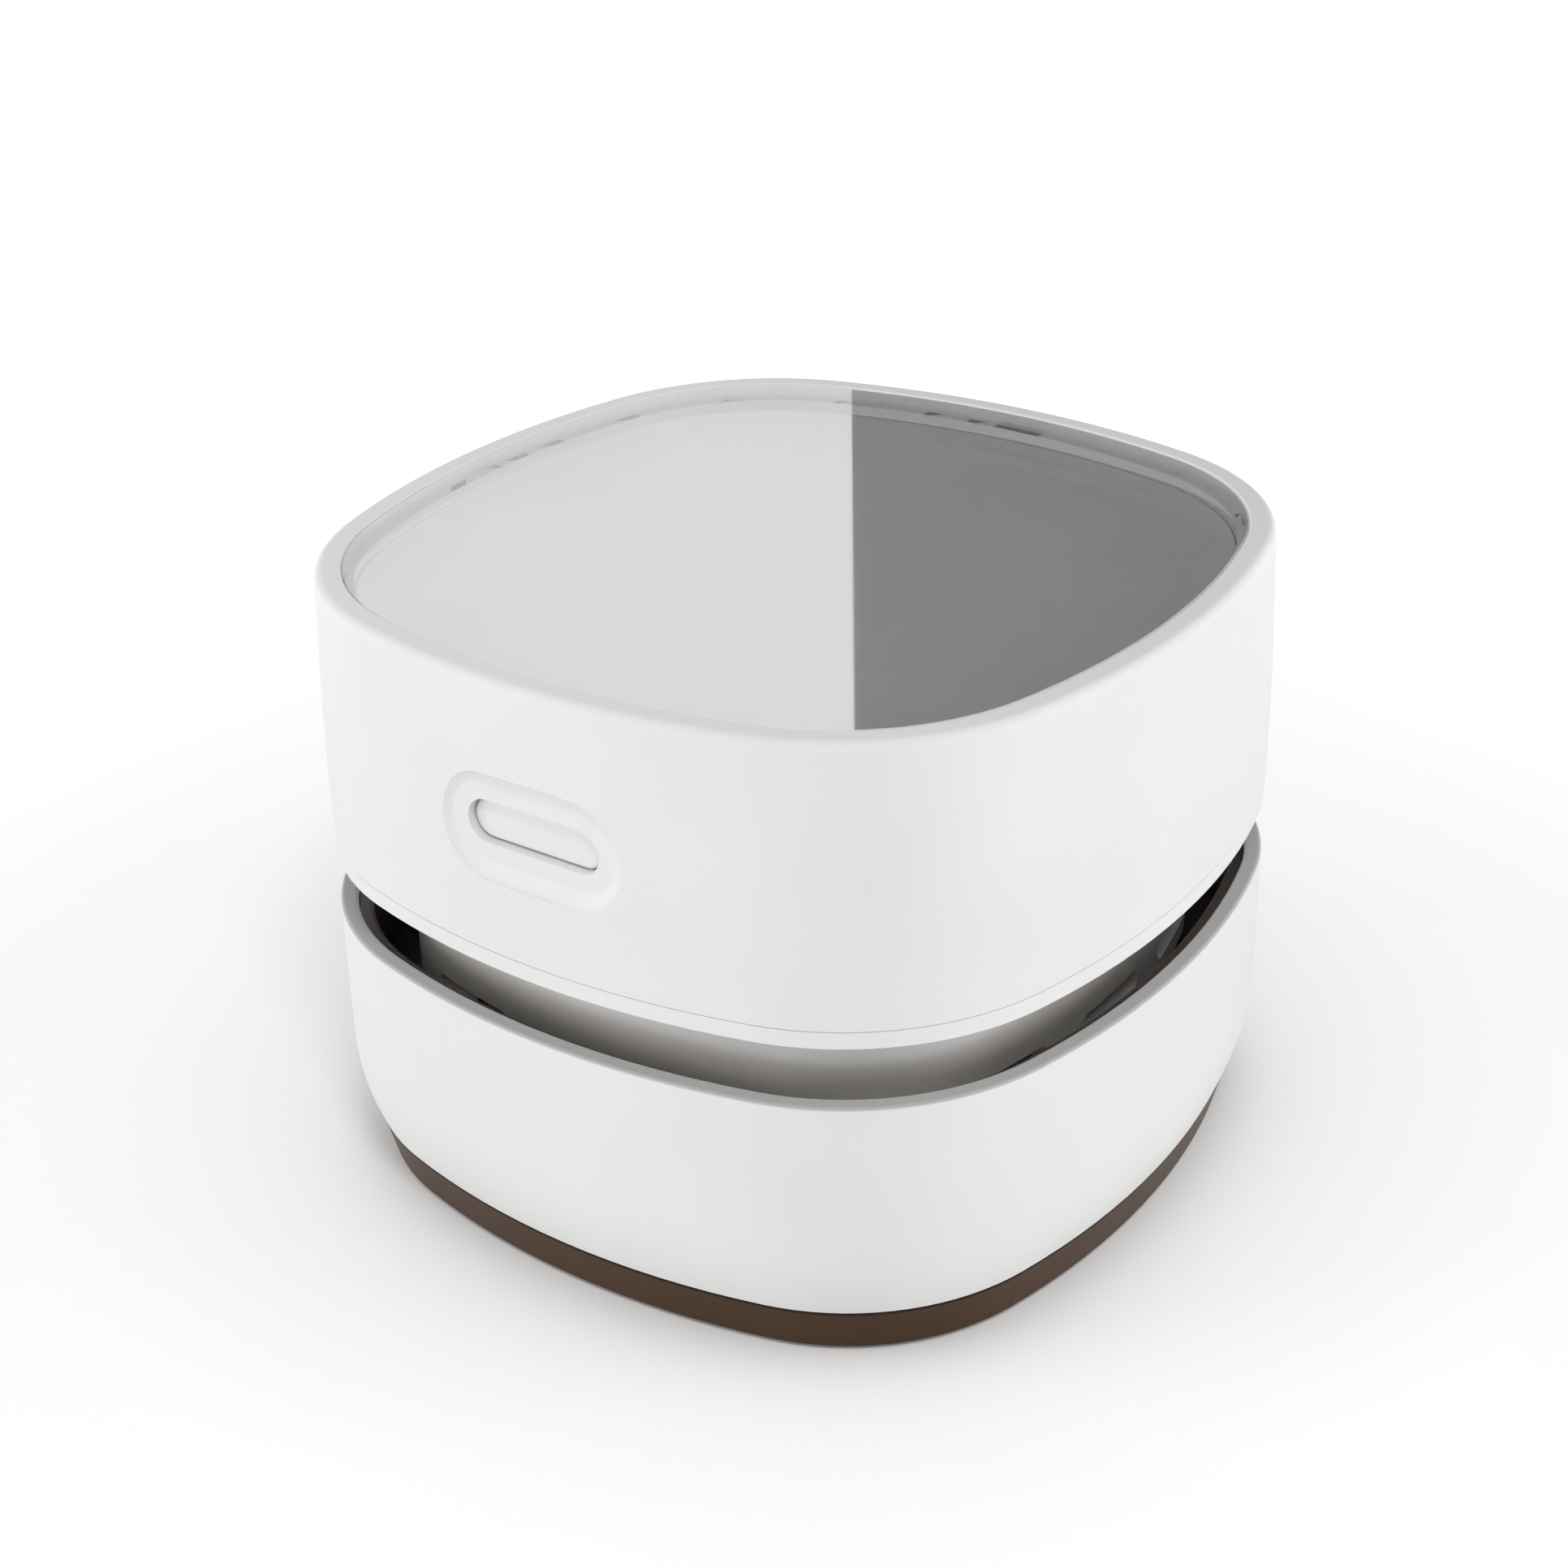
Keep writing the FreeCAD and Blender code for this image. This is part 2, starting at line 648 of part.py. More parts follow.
revolve(seal, "seal", [
    (SEAL_IN, f"{NECK_FLOOR} - seal_thickness"),
    (f"{SEAL_IN} + seal_width", f"{NECK_FLOOR} - seal_thickness", "0.3", "flat"),
    (f"{SEAL_IN} + seal_width", NECK_FLOOR),
    (SEAL_IN, NECK_FLOOR),
])

# Impeller: back plate, hub and backward-curved blades
fan = new_body("impeller")
BORE = "(shaft_radius + shaft_fit)"
BACK = f"({BLADE_BOTTOM} + blade_height)"
revolve(fan, "back_plate", [
    (BORE, BLADE_BOTTOM),
    ("hub_radius - 1.4", BLADE_BOTTOM),
    ("hub_radius", f"{BLADE_BOTTOM} + 1.4"),
    ("hub_radius", f"{BACK} - 2.5"),
    ("hub_radius + 1.2", f"{BACK} - 0.8"),
    ("hub_radius + 3.5", BACK),
    ("impeller_radius", BACK),
    ("impeller_radius", f"{BACK} + back_thickness"),
    (BORE, f"{BACK} + back_thickness"),
])
blade = new_sketch(fan, "blade_outline", level=BLADE_BOTTOM)
middle = spot("blade_swing", "0")
far = value("blade_radius")
thick = value("blade_thickness") / 2
tips = []
for limit in (value("blade_start"), value("impeller_radius")):
    for radius in (far - thick, far + thick):
        x = (limit ** 2 - radius ** 2 + middle.x ** 2) / (2 * middle.x)
        tips.append(FreeCAD.Vector(x, math.sqrt(limit ** 2 - x ** 2), 0))
axis = FreeCAD.Vector(0, 0, 1)
bends = []
for k, radius in enumerate((far - thick, far + thick)):
    begin, finish = sorted([math.atan2(tips[k + 2 * e].y, tips[k + 2 * e].x - middle.x) for e in (0, 1)])
    bends.append(Part.ArcOfCircle(Part.Circle(middle, axis, radius), begin, finish))
blade.addGeometry(bends, False)
blade.addGeometry([Part.LineSegment(tips[0], tips[1]), Part.LineSegment(tips[2], tips[3])], False)
blade.addGeometry([Part.Circle(FreeCAD.Vector(), axis, value("blade_start")),
                   Part.Circle(FreeCAD.Vector(), axis, value("impeller_radius"))], True)
# The arcs run from the outer tip to the inner one, against the clock.
fix(blade, "Coincident", 2, 1, 0, 2)
fix(blade, "Coincident", 2, 2, 1, 2)
fix(blade, "Coincident", 3, 1, 0, 1)
fix(blade, "Coincident", 3, 2, 1, 1)
pin(blade, 0, 3, "blade_swing", "0")
fix(blade, "Coincident", 1, 3, 0, 3)
hold_radius(blade, 0, "blade_radius - blade_thickness / 2")
hold_radius(blade, 1, "blade_radius + blade_thickness / 2")
fix(blade, "Coincident", 4, 3, -1, 1)
fix(blade, "Coincident", 5, 3, -1, 1)
hold_radius(blade, 4, "blade_start")
hold_radius(blade, 5, "impeller_radius")
for line, ring in ((2, 4), (3, 5)):
    fix(blade, "PointOnObject", line, 1, ring)
    fix(blade, "PointOnObject", line, 2, ring)
blade_pad = pad(fan, "blade", blade, "blade_height + 0.3")
around(fan, "blades", [blade_pad], "blade_count", 1)

# Motor: can, magnets, end bell, shaft and rotor
can = new_body("motor_can")
SHAFT_WAY = "(shaft_radius + bearing_fit)"
revolve(can, "can", [
    (SHAFT_WAY, f"{RING_TOP} - motor_boss_height"),
    ("motor_boss_radius", f"{RING_TOP} - motor_boss_height", "0.3", "flat"),
    ("motor_boss_radius", RING_TOP),
    ("motor_radius", RING_TOP, "0.8", "flat"),
    ("motor_radius", MOTOR_TOP),
    ("motor_radius - motor_wall", MOTOR_TOP),
    ("motor_radius - motor_wall", f"{RING_TOP} + motor_wall * 1.5"),
    (SHAFT_WAY, f"{RING_TOP} + motor_wall * 1.5"),
])
hole = new_sketch(can, "thread_outline", level=RING_TOP)
circle(hole, "motor_screw_reach", "0", "motor_screw_radius + 0.05")
circle(hole, "-motor_screw_reach", "0", "motor_screw_radius + 0.05")
pocket(can, "threads", hole, "motor_wall * 1.5", flip=True)
magnets = new_body("motor_magnets")
MAGNET_OUT = "(motor_radius - motor_wall - 0.05)"
MAGNET_IN = f"({MAGNET_OUT} - magnet_thickness)"
ROTOR_LOW = f"({RING_TOP} + motor_wall * 1.5 + 1.5)"
ring = new_sketch(magnets, "magnet_outline", level=ROTOR_LOW)
circle(ring, "0", "0", MAGNET_OUT)
circle(ring, "0", "0", MAGNET_IN)
pad(magnets, "magnet_ring", ring, "rotor_height")
gap = new_sketch(magnets, "magnet_gap", level=ROTOR_LOW)
box(gap, "-motor_radius", "-2.2", "motor_radius", "2.2")
pocket(magnets, "magnet_split", gap, "rotor_height", flip=True)
bell = new_body("motor_end_bell")
revolve(bell, "bell", [
    (SHAFT_WAY, f"{MOTOR_TOP} - 1.2"),
    ("motor_radius - motor_wall - 0.05", f"{MOTOR_TOP} - 1.2"),
    ("motor_radius - motor_wall - 0.05", MOTOR_TOP),
    ("motor_radius", MOTOR_TOP),
    ("motor_radius", f"{MOTOR_TOP} + bell_height - 1", "0.5", "flat"),
    ("motor_boss_radius + 1", f"{MOTOR_TOP} + bell_height - 1"),
    ("motor_boss_radius + 1", f"{MOTOR_TOP} + bell_height", "0.3", "flat"),
    (SHAFT_WAY, f"{MOTOR_TOP} + bell_height"),
])
damper = new_body("motor_damper_ring")
revolve(damper, "damper", [
    ("motor_boss_radius + 1.2", f"{MOTOR_TOP} + bell_height - 1"),
    ("motor_radius - 1", f"{MOTOR_TOP} + bell_height - 1"),
    ("motor_radius - 1", SHELF),
    ("motor_boss_radius + 1.2", SHELF),
])
shaft = new_body("motor_shaft")
revolve(shaft, "shaft", [
    ("0", f"{BLADE_BOTTOM} + 0.6"),
    ("shaft_radius", f"{BLADE_BOTTOM} + 0.6", "0.2", "flat"),
    ("shaft_radius", f"{MOTOR_TOP} + bell_height - 0.4", "0.2", "flat"),
    ("0", f"{MOTOR_TOP} + bell_height - 0.4"),
])
rotor = new_body("motor_rotor")
ROTOR = f"({MAGNET_IN} - air_gap)"
core = new_sketch(rotor, "rotor_outline", level=ROTOR_LOW)
circle(core, "0", "0", ROTOR)
circle(core, "0", "0", BORE)
pad(rotor, "rotor_core", core, "rotor_height")
cut = new_sketch(rotor, "rotor_slot", level=ROTOR_LOW)
box(cut, "shaft_radius + 2.5", "-rotor_slot / 2", "motor_radius", "rotor_slot / 2")
around(rotor, "rotor_slots", [pocket(rotor, "slot_cut", cut, "rotor_height", flip=True)], "3", -1)


def screw(body, name, head, head_height, shank, low, top):
    """A turned pan head with its shank above it, the head's underside at low."""
    revolve(body, name, [
        ("0", f"{low} + 0.5"),
        ("0.5", f"{low} + 0.5"),
        ("0.5", low),
        (head, low, "0.3", "flat"),
        (head, f"{low} + {head_height}"),
        (shank, f"{low} + {head_height}"),
        (shank, f"{top} - 0.4"),
        (f"{shank} - 0.4", top),
        ("0", top),
    ])


def copies(label, source, places):
    """Equal pieces of one node, each a copy of the source's shape at x, y."""
    shapes = []
    for x, y in places:
        shape = source.Shape.copy()
        shape.translate(FreeCAD.Vector(x, y, 0))
        shapes.append(shape)
    group = doc.addObject("Part::Feature", label)
    group.Label = label
    group.Shape = Part.makeCompound(shapes)
    pieces.append(group)
    return group


def pattern_body(name):
    """A body that is only the original of several copies, not a piece itself."""
    body = new_body(name)
    pieces.remove(body)
    return body


def four(reach, start):
    """Four places about Z at the reach, the first at the start angle."""
    angles = [math.radians(start + 90 * i) for i in range(4)]
    return [(value(reach) * math.cos(a), value(reach) * math.sin(a)) for a in angles]


one = pattern_body("motor_screw")
HEAD_LOW = f"({RING_BOTTOM} - 1)"
screw(one, "pan_screw", "motor_screw_head", "1", "motor_screw_radius",
      HEAD_LOW, f"({RING_TOP} + motor_wall * 1.5)")
reach = value("motor_screw_reach")
copies("motor_screws", one, [(reach, 0), (-reach, 0)])
one = pattern_body("case_screw")
screw(one, "long_screw", "screw_head_radius", "screw_head_height", "screw_radius",
      f"({NECK_FLOOR} + screw_head_room)", f"({RING_TOP} + screw_bite)")
copies("case_screws", one, four("boss_reach", 45))

# Battery in its cradle
cell = new_body("battery_cell")
can_round = new_sketch(cell, "cell_outline", "YZ_Plane", "-cell_length / 2")
circle(can_round, CELL_Y, CELL_Z, "cell_radius")
pad(cell, "cell_can", can_round, "cell_length")
nub = new_sketch(cell, "nub_outline", "YZ_Plane", "cell_length / 2")
circle(nub, CELL_Y, CELL_Z, "cell_radius / 3")
pad(cell, "cell_nub", nub, "1")
cradle = new_body("battery_cradle")
saddle = new_sketch(cradle, "cradle_outline", "YZ_Plane", "-cradle_length / 2")
box(saddle, f"{CELL_Y} - cradle_width / 2", RING_TOP, f"{CELL_Y} + cradle_width / 2", f"{CELL_Z} - 1.5")
pad(cradle, "cradle_block", saddle, "cradle_length")
bed = new_sketch(cradle, "bed_outline", "YZ_Plane", "-cradle_length / 2")
circle(bed, CELL_Y, CELL_Z, "cell_radius + cell_fit")
pocket(cradle, "cell_bed", bed, "cradle_length", flip=True)
bay = new_sketch(cradle, "bay_outline", "YZ_Plane", "-cradle_length / 2 + 3")
box(bay, f"{CELL_Y} - cradle_width / 2 - 1", f"{RING_TOP} + 1.2",
    f"{CELL_Y} + cradle_width / 2 + 1", f"{CELL_Z}")
pocket(cradle, "cradle_bay", bay, "cradle_length - 6", flip=True)

# Control board, push switch and the button that works it
board = new_body("control_board")
sheet_face = new_sketch(board, "board_outline", "XZ_Plane", f"{BOARD_FACE} - board_thickness")
box(sheet_face, "-board_width / 2", RING_TOP, "board_width / 2", f"{RING_TOP} + board_height")
pad(board, "board", sheet_face, "board_thickness")
switch = new_body("push_switch")
block = new_sketch(switch, "switch_outline", "XZ_Plane", BOARD_FACE)
HALF_SWITCH = "switch_width / 2"
box(block, f"-{HALF_SWITCH}", f"{BUTTON_Z} - {HALF_SWITCH}", HALF_SWITCH, f"{BUTTON_Z} + {HALF_SWITCH}")
pad(switch, "switch_block", block, "switch_depth")
bore = new_sketch(switch, "switch_bore", "XZ_Plane", SWITCH_FACE)
circle(bore, "0", BUTTON_Z, "plunger_radius + button_gap")
pocket(switch, "plunger_way", bore, "plunger_reach")
button = new_body("power_button")
face = new_sketch(button, "button_outline", "XZ_Plane", f"{FLANGE} - 0.2")
stadium(face, "0", BUTTON_Z, "slot_half", "(slot_radius - button_gap)")
cap = pad(button, "button_cap", face, f"{BUTTON_FACE} - {FLANGE} + 0.2")
flange = new_sketch(button, "flange_outline", "XZ_Plane", f"{FLANGE} - flange_thickness")
stadium(flange, "0", BUTTON_Z, "slot_half", "(slot_radius + flange_width)")
pad(button, "button_flange", flange, "flange_thickness")
front = [f"Edge{i + 1}" for i, edge in enumerate(button.Shape.Edges)
         if abs(edge.BoundBox.YMax + value(BUTTON_FACE)) < 0.01]
last = button.Tip
rounding = button.newObject("PartDesign::Fillet", "button_edge")
rounding.Base = (last, front)
rounding.setExpression("Radius", bound("button_round"))
button.Tip = rounding
doc.recompute()
plunger = new_body("switch_plunger")
stem = new_sketch(plunger, "stem_outline", "XZ_Plane", f"{FLANGE} - flange_thickness - plunger_reach")
circle(stem, "0", BUTTON_Z, "plunger_radius")
pad(plunger, "stem", stem, "plunger_reach")

# Charging board and socket
charger = new_body("charging_board")
strip = new_sketch(charger, "charger_outline", level=f"{CHARGER_TOP} - charger_thickness")
box(strip, "-charger_width / 2", CHARGER_BACK, "charger_width / 2", f"{CHARGER_BACK} + charger_length")
pad(charger, "charger", strip, "charger_thickness")
socket = new_body("charging_socket")
mouth = new_sketch(socket, "socket_outline", "XZ_Plane", f"-{SOCKET_FACE}")
stadium(mouth, "0", SOCKET_Z, "(socket_half_width - socket_half_height)", "socket_half_height")
pad(socket, "socket_can", mouth, "socket_length")
mouth = new_sketch(socket, "socket_hollow", "XZ_Plane", f"-{SOCKET_FACE}")
stadium(mouth, "0", SOCKET_Z, "(socket_half_width - socket_half_height)", "(socket_half_height - socket_wall)")
pocket(socket, "socket_mouth", mouth, "socket_length - 1.5", flip=True)
tongue = new_sketch(socket, "tongue_outline", "XZ_Plane", f"-({SOCKET_FACE} - 1)")
box(tongue, "-socket_half_width + 1.7", f"{SOCKET_Z} - 0.35", "socket_half_width - 1.7", f"{SOCKET_Z} + 0.35")
pad(socket, "tongue", tongue, "socket_length - 2")

# Filter
frame = new_body("filter_frame")
FILTER_OUT = f"({SPIGOT} - spigot_wall - filter_gap)"
FILTER_LOW = f"({NECK_FLOOR} - spigot_depth + filter_lift)"
revolve(frame, "filter_rim", [
    (f"{FILTER_OUT} - filter_rim", FILTER_LOW),
    (FILTER_OUT, FILTER_LOW, "0.3", "flat"),
    (FILTER_OUT, f"{FILTER_LOW} + filter_height", "0.3", "flat"),
    (f"{FILTER_OUT} - filter_rim", f"{FILTER_LOW} + filter_height"),
])
spoke = new_sketch(frame, "spoke_outline", level=FILTER_LOW)
box(spoke, "0", "-spoke_width / 2", f"{FILTER_OUT} - filter_rim / 2", "spoke_width / 2")
around(frame, "spokes", [pad(frame, "spoke", spoke, "spoke_height")], "6", 1)
mesh = new_body("filter_mesh")
disc = new_sketch(mesh, "mesh_outline", level=f"{FILTER_LOW} + spoke_height")
circle(disc, "0", "0", f"{FILTER_OUT} - filter_rim - 0.05")
pad(mesh, "mesh", disc, "mesh_thickness")

# Lower shell and the cup inside it
lower = new_body("lower_shell")
WAIST = f"({SEAT} + waist_height)"
wall_round(lower, "lower_wall", [
    ("base_inset", SEAT),
    ("0", f"{SEAT} + belly_height", "belly_radius"),
    ("0", f"{LOWER_TOP} - 6", "60"),
    ("lower_edge_inset", LOWER_TOP, "lower_round"),
    ("lower_wall", LOWER_TOP, "lower_round"),
    ("lower_wall", WAIST),
    ("waist_inset", SEAT),
])
cup = new_body("dust_cup")
CUP_OUT = "(lower_wall + snug)"
CUP_IN = f"({CUP_OUT} + cup_wall)"
wall_round(cup, "cup_wall", [
    ("waist_inset + snug", SEAT),
    (CUP_OUT, WAIST),
    (CUP_OUT, f"{LOWER_TOP} - cup_drop"),
    (CUP_IN, f"{LOWER_TOP} - cup_drop", "0.4", "flat"),
    (CUP_IN, f"{COLLAR_TOP} - collar_thickness"),
    (f"{CUP_IN} + collar_step", f"{COLLAR_TOP} - collar_thickness"),
    (f"{CUP_IN} + collar_step", f"{CUP_FLOOR} + 3"),
    ("waist_inset + snug + 3.5", CUP_FLOOR),
    ("waist_inset + snug + 3.5", SEAT),
])
pad(cup, "cup_floor", outline(cup, "floor_outline", "(waist_inset + snug + 3.4)", SEAT), "cup_floor")
hole = new_sketch(cup, "chimney_hole", level=SEAT)
circle(hole, "0", "0", "intake_radius + intake_wall + snug")
pocket(cup, "chimney_way", hole, "cup_floor", flip=True)
stub = new_sketch(cup, "cup_boss_outline", level=f"{CUP_FLOOR} - 0.2")
circle(stub, "base_screw_reach", "0", "boss_radius")
around(cup, "cup_bosses", [pad(cup, "cup_boss", stub, "cup_boss_height")], "4", 1)
hole = new_sketch(cup, "cup_pilot_outline", level=SEAT)
circle(hole, "base_screw_reach", "0", "screw_hole")
around(cup, "cup_pilots", [pocket(cup, "cup_pilot", hole, "cup_boss_height", flip=True)], "4", -1)
collar_piece = new_body("cup_collar")
rim_line = outline(collar_piece, "collar_outline", f"({CUP_IN} + snug)", f"{COLLAR_TOP} - collar_thickness")
pad(collar_piece, "collar_plate", rim_line, "collar_thickness")
hole = new_sketch(collar_piece, "collar_hole", level=f"{COLLAR_TOP} - collar_thickness")
circle(hole, "0", "0", f"{SPIGOT} + collar_fit")
pocket(collar_piece, "collar_mouth", hole, "collar_thickness", flip=True)

# Base plate, intake nozzle, brush, screws and feet
base = new_body("base_plate")
wall_round(base, "base_rail", [
    ("base_foot_inset", "foot_height", "0.3"),
    ("base_inset", SEAT, "0.25"),
    ("base_inset + base_rail", SEAT),
    ("base_foot_inset + base_rail", "foot_height"),
])
plan = outline(base, "base_outline", "(base_foot_inset + base_rail - 0.4)", "foot_height")
pad(base, "base_floor", plan, "base_floor")
revolve(base, "mouth_block", [
    ("intake_radius + intake_wall + snug", "foot_height"),
    ("mouth_radius + mouth_wall", "foot_height"),
    ("mouth_radius + mouth_wall", SEAT),
    ("intake_radius + intake_wall + snug", SEAT),
])
hole = new_sketch(base, "mouth_hole", level="foot_height")
circle(hole, "0", "0", "intake_radius + intake_wall + snug")
pocket(base, "mouth_way", hole, "base_height", flip=True)
groove(base, "mouth", [
    ("0", "foot_height"),
    ("mouth_radius + 0.8", "foot_height"),
    ("mouth_radius", "foot_height + 0.8"),
    ("mouth_radius", MOUTH_ROOF),
    ("0", MOUTH_ROOF),
])
stub = new_sketch(base, "base_boss_outline", level="foot_height + 0.2")
circle(stub, "base_screw_reach", "0", "boss_radius + 0.6")
around(base, "base_bosses", [pad(base, "base_boss", stub, "base_height - 0.2")], "4", 1)
hole = new_sketch(base, "base_screw_way", level="foot_height")
circle(hole, "base_screw_reach", "0", "screw_hole")
sink = new_sketch(base, "base_head_way", level="foot_height")
circle(sink, "base_screw_reach", "0", "screw_head_radius + screw_head_room")
cuts = [pocket(base, "screw_hole_cut", hole, "base_height", flip=True)]
cuts.append(pocket(base, "head_hole_cut", sink, "screw_head_height + 2 * screw_head_room", flip=True))
around(base, "base_screw_holes", cuts, "4", -1)
pit = new_sketch(base, "foot_pit_outline", level="foot_height", turn=45)
circle(pit, "foot_reach", "0", "foot_radius + foot_gap")
around(base, "foot_pits", [pocket(base, "foot_pit", pit, "foot_seat", flip=True)], "4", -1)
nozzle = new_body("intake_nozzle")
revolve(nozzle, "nozzle", [
    ("intake_radius", MOUTH_ROOF, "0.6", "flat"),
    ("intake_radius + intake_wall", f"{MOUTH_ROOF}"),
    ("intake_radius + intake_wall", f"{INTAKE_TOP}", "0.3", "flat"),
    ("intake_radius", INTAKE_TOP, "0.3", "flat"),
])
brush = new_body("brush_ring")
HOLDER_LOW = f"({MOUTH_ROOF} - brush_holder)"
revolve(brush, "brush_holder_ring", [
    ("brush_inner", HOLDER_LOW, "0.3", "flat"),
    ("brush_outer", HOLDER_LOW, "0.3", "flat"),
    ("brush_outer", MOUTH_ROOF),
    ("brush_inner", MOUTH_ROOF),
])
tuft = new_sketch(brush, "tuft_outline", level="tuft_clear")
circle(tuft, "(brush_inner + brush_outer) / 2", "0", "tuft_radius")
tuft_pad = pad(brush, "tuft", tuft, f"{HOLDER_LOW} - tuft_clear + 0.2")
around(brush, "tufts", [tuft_pad], "tuft_count", 1)
one = pattern_body("base_screw")
screw(one, "short_screw", "screw_head_radius", "screw_head_height", "screw_radius",
      "(foot_height + 2 * screw_head_room)", f"({SEAT} + cup_boss_height - 0.6)")
copies("base_screws", one, four("base_screw_reach", 0))
one = pattern_body("glide_foot")
revolve(one, "foot", [
    ("0", "0"),
    ("foot_radius", "0", "0.25", "flat"),
    ("foot_radius", "foot_height + foot_seat"),
    ("0", "foot_height + foot_seat"),
])
copies("glide_feet", one, four("foot_reach", 45))

# Check every object, then write each piece to its own file
doc.recompute()
for item in doc.Objects:
    if "Invalid" in item.State or "Error" in item.State:
        raise RuntimeError(f"{item.Label} did not build: {item.State}")
for item in pieces:
    if item.Shape.isNull() or not item.Shape.isValid() or not item.Shape.Solids:
        raise RuntimeError(f"{item.Label} has no valid solid")
os.makedirs("parts", exist_ok=True)
for item in pieces:
    item.Shape.exportStep(f"parts/{item.Label}.step")
    print(item.Label, len(item.Shape.Solids), round(item.Shape.Volume, 1))
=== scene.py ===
import math

import bpy
import numpy as np
from mathutils import Matrix, Vector


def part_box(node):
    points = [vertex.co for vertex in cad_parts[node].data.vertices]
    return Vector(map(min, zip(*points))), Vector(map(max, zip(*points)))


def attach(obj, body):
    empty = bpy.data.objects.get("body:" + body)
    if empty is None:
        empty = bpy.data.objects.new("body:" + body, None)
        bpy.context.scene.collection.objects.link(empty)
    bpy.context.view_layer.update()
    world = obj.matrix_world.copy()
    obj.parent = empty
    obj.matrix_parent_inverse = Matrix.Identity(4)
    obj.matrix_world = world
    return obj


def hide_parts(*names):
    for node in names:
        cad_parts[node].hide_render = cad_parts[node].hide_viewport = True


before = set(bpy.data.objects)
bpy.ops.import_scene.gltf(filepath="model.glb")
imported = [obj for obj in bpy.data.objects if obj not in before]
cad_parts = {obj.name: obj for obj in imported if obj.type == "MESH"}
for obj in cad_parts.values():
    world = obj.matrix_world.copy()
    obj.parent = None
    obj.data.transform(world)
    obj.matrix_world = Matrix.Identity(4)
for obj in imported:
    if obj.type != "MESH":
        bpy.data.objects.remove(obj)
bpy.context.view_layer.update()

bl_info = {
    "name": "Desktop Mini Vacuum",
    "version": (1, 0, 0),
    "blender": (4, 5, 0),
    "location": "3D View > Sidebar > Vacuum",
    "description": "Finishes, brush, filter weave and studio of a desktop mini vacuum",
    "category": "Object",
}

MM = 0.001
HOLDER_WIDTH = 5.0 * MM
HOLDER_HEIGHT = 1.2 * MM
TUFTS = 48
# Where the light of the studio stands: name, place, width, height and power in watts.
LAMPS = (
    ("lamp_right", (0.55, 0.3, 0.16), 0.42, 0.28, 1.35),
    ("lamp_left", (-0.55, -0.45, 0.16), 0.42, 0.28, 2.1),
    ("lamp_key", (0.3, -0.28, 0.58), 0.14, 0.14, 1.25),
    ("lamp_low", (0.4, -0.56, 0.07), 0.4, 0.1, 0.35),
)
LAMP_AIM = Vector((0.0, 0.0, 0.03))
# The dark card stands behind the object, across the camera's view, from its left edge to its right.
CARD_BEHIND = Vector((-0.5785, 0.8157, 0.0)) * 0.5
CARD_ALONG = Vector((0.8157, 0.5785, 0.0))
CARD_LEFT, CARD_RIGHT, CARD_LOW, CARD_HIGH = 0.0199, 0.4, 0.1, 0.6
FLOOR_REACH = 6.0


# Shader maths written as expressions.
class Wire:
    """A socket in a node tree, or a plain number, that adds Math nodes when used in sums."""

    def __init__(self, tree, socket):
        self.tree = tree
        self.socket = socket

    def _math(self, operation, first, second):
        node = self.tree.node("ShaderNodeMath", {"operation": operation}, {0: first, 1: second})
        return node.out(0)

    def __add__(self, other):
        return self._math("ADD", self, other)

    def __radd__(self, other):
        return self._math("ADD", other, self)

    def __sub__(self, other):
        return self._math("SUBTRACT", self, other)

    def __mul__(self, other):
        return self._math("MULTIPLY", self, other)

    def sine(self):
        return self._math("SINE", self, 0.0)

    def between(self, low, high):
        """0 at low, 1 at high, smooth in between."""
        node = self.tree.node("ShaderNodeMapRange", {"interpolation_type": "SMOOTHSTEP"},
                              {0: self, 1: low, 2: high, 3: 0.0, 4: 1.0})
        return node.out(0)


class Made:
    """A node that has been added, whose outputs are Wires."""

    def __init__(self, tree, node):
        self.tree = tree
        self.node = node

    def out(self, key):
        return Wire(self.tree, self.node.outputs[key])


class Finish:
    """One material, built up from nodes."""

    def __init__(self, name):
        self.material = bpy.data.materials.new(name)
        self.material.use_nodes = True
        self.nodes = self.material.node_tree.nodes
        self.links = self.material.node_tree.links
        self.nodes.clear()
        self.output = self.nodes.new("ShaderNodeOutputMaterial")

    def node(self, kind, settings=None, inputs=None):
        """Adds a node: settings first, then each input's value or link."""
        made = self.nodes.new(kind)
        for key, setting in (settings or {}).items():
            setattr(made, key, setting)
        for key, given in (inputs or {}).items():
            if isinstance(given, Wire):
                self.links.new(given.socket, made.inputs[key])
            elif isinstance(given, Made):
                self.links.new(given.node.outputs[0], made.inputs[key])
            else:
                made.inputs[key].default_value = given
        return Made(self, made)

    def place(self):
        """Object coordinates of the point, in metres."""
        return self.node("ShaderNodeTexCoord").out("Object")

    def axes(self):
        """The three Object coordinates by themselves, in metres."""
        parts = self.node("ShaderNodeSeparateXYZ", None, {0: self.place()})
        return parts.out(0), parts.out(1), parts.out(2)

    def noise(self, per_metre, detail=3.0, rough=0.5):
        node = self.node("ShaderNodeTexNoise", None, {"Vector": self.place(), "Scale": per_metre,
                                                      "Detail": detail, "Roughness": rough})
        return node.out("Fac")

    def mix(self, factor, first, second):
        node = self.node("ShaderNodeMix", {"data_type": "RGBA"}, {0: factor, 6: first, 7: second})
        return node.out(2)

    def bump(self, height, strength, distance):
        return self.node("ShaderNodeBump", None, {"Height": height, "Strength": strength,
                                                  "Distance": distance}).out("Normal")

    def surface(self, **sockets):
        shader = self.node("ShaderNodeBsdfPrincipled", None,
                           {key.replace("_", " "): given for key, given in sockets.items()})
        self.links.new(shader.node.outputs[0], self.output.inputs["Surface"])
        return self.material


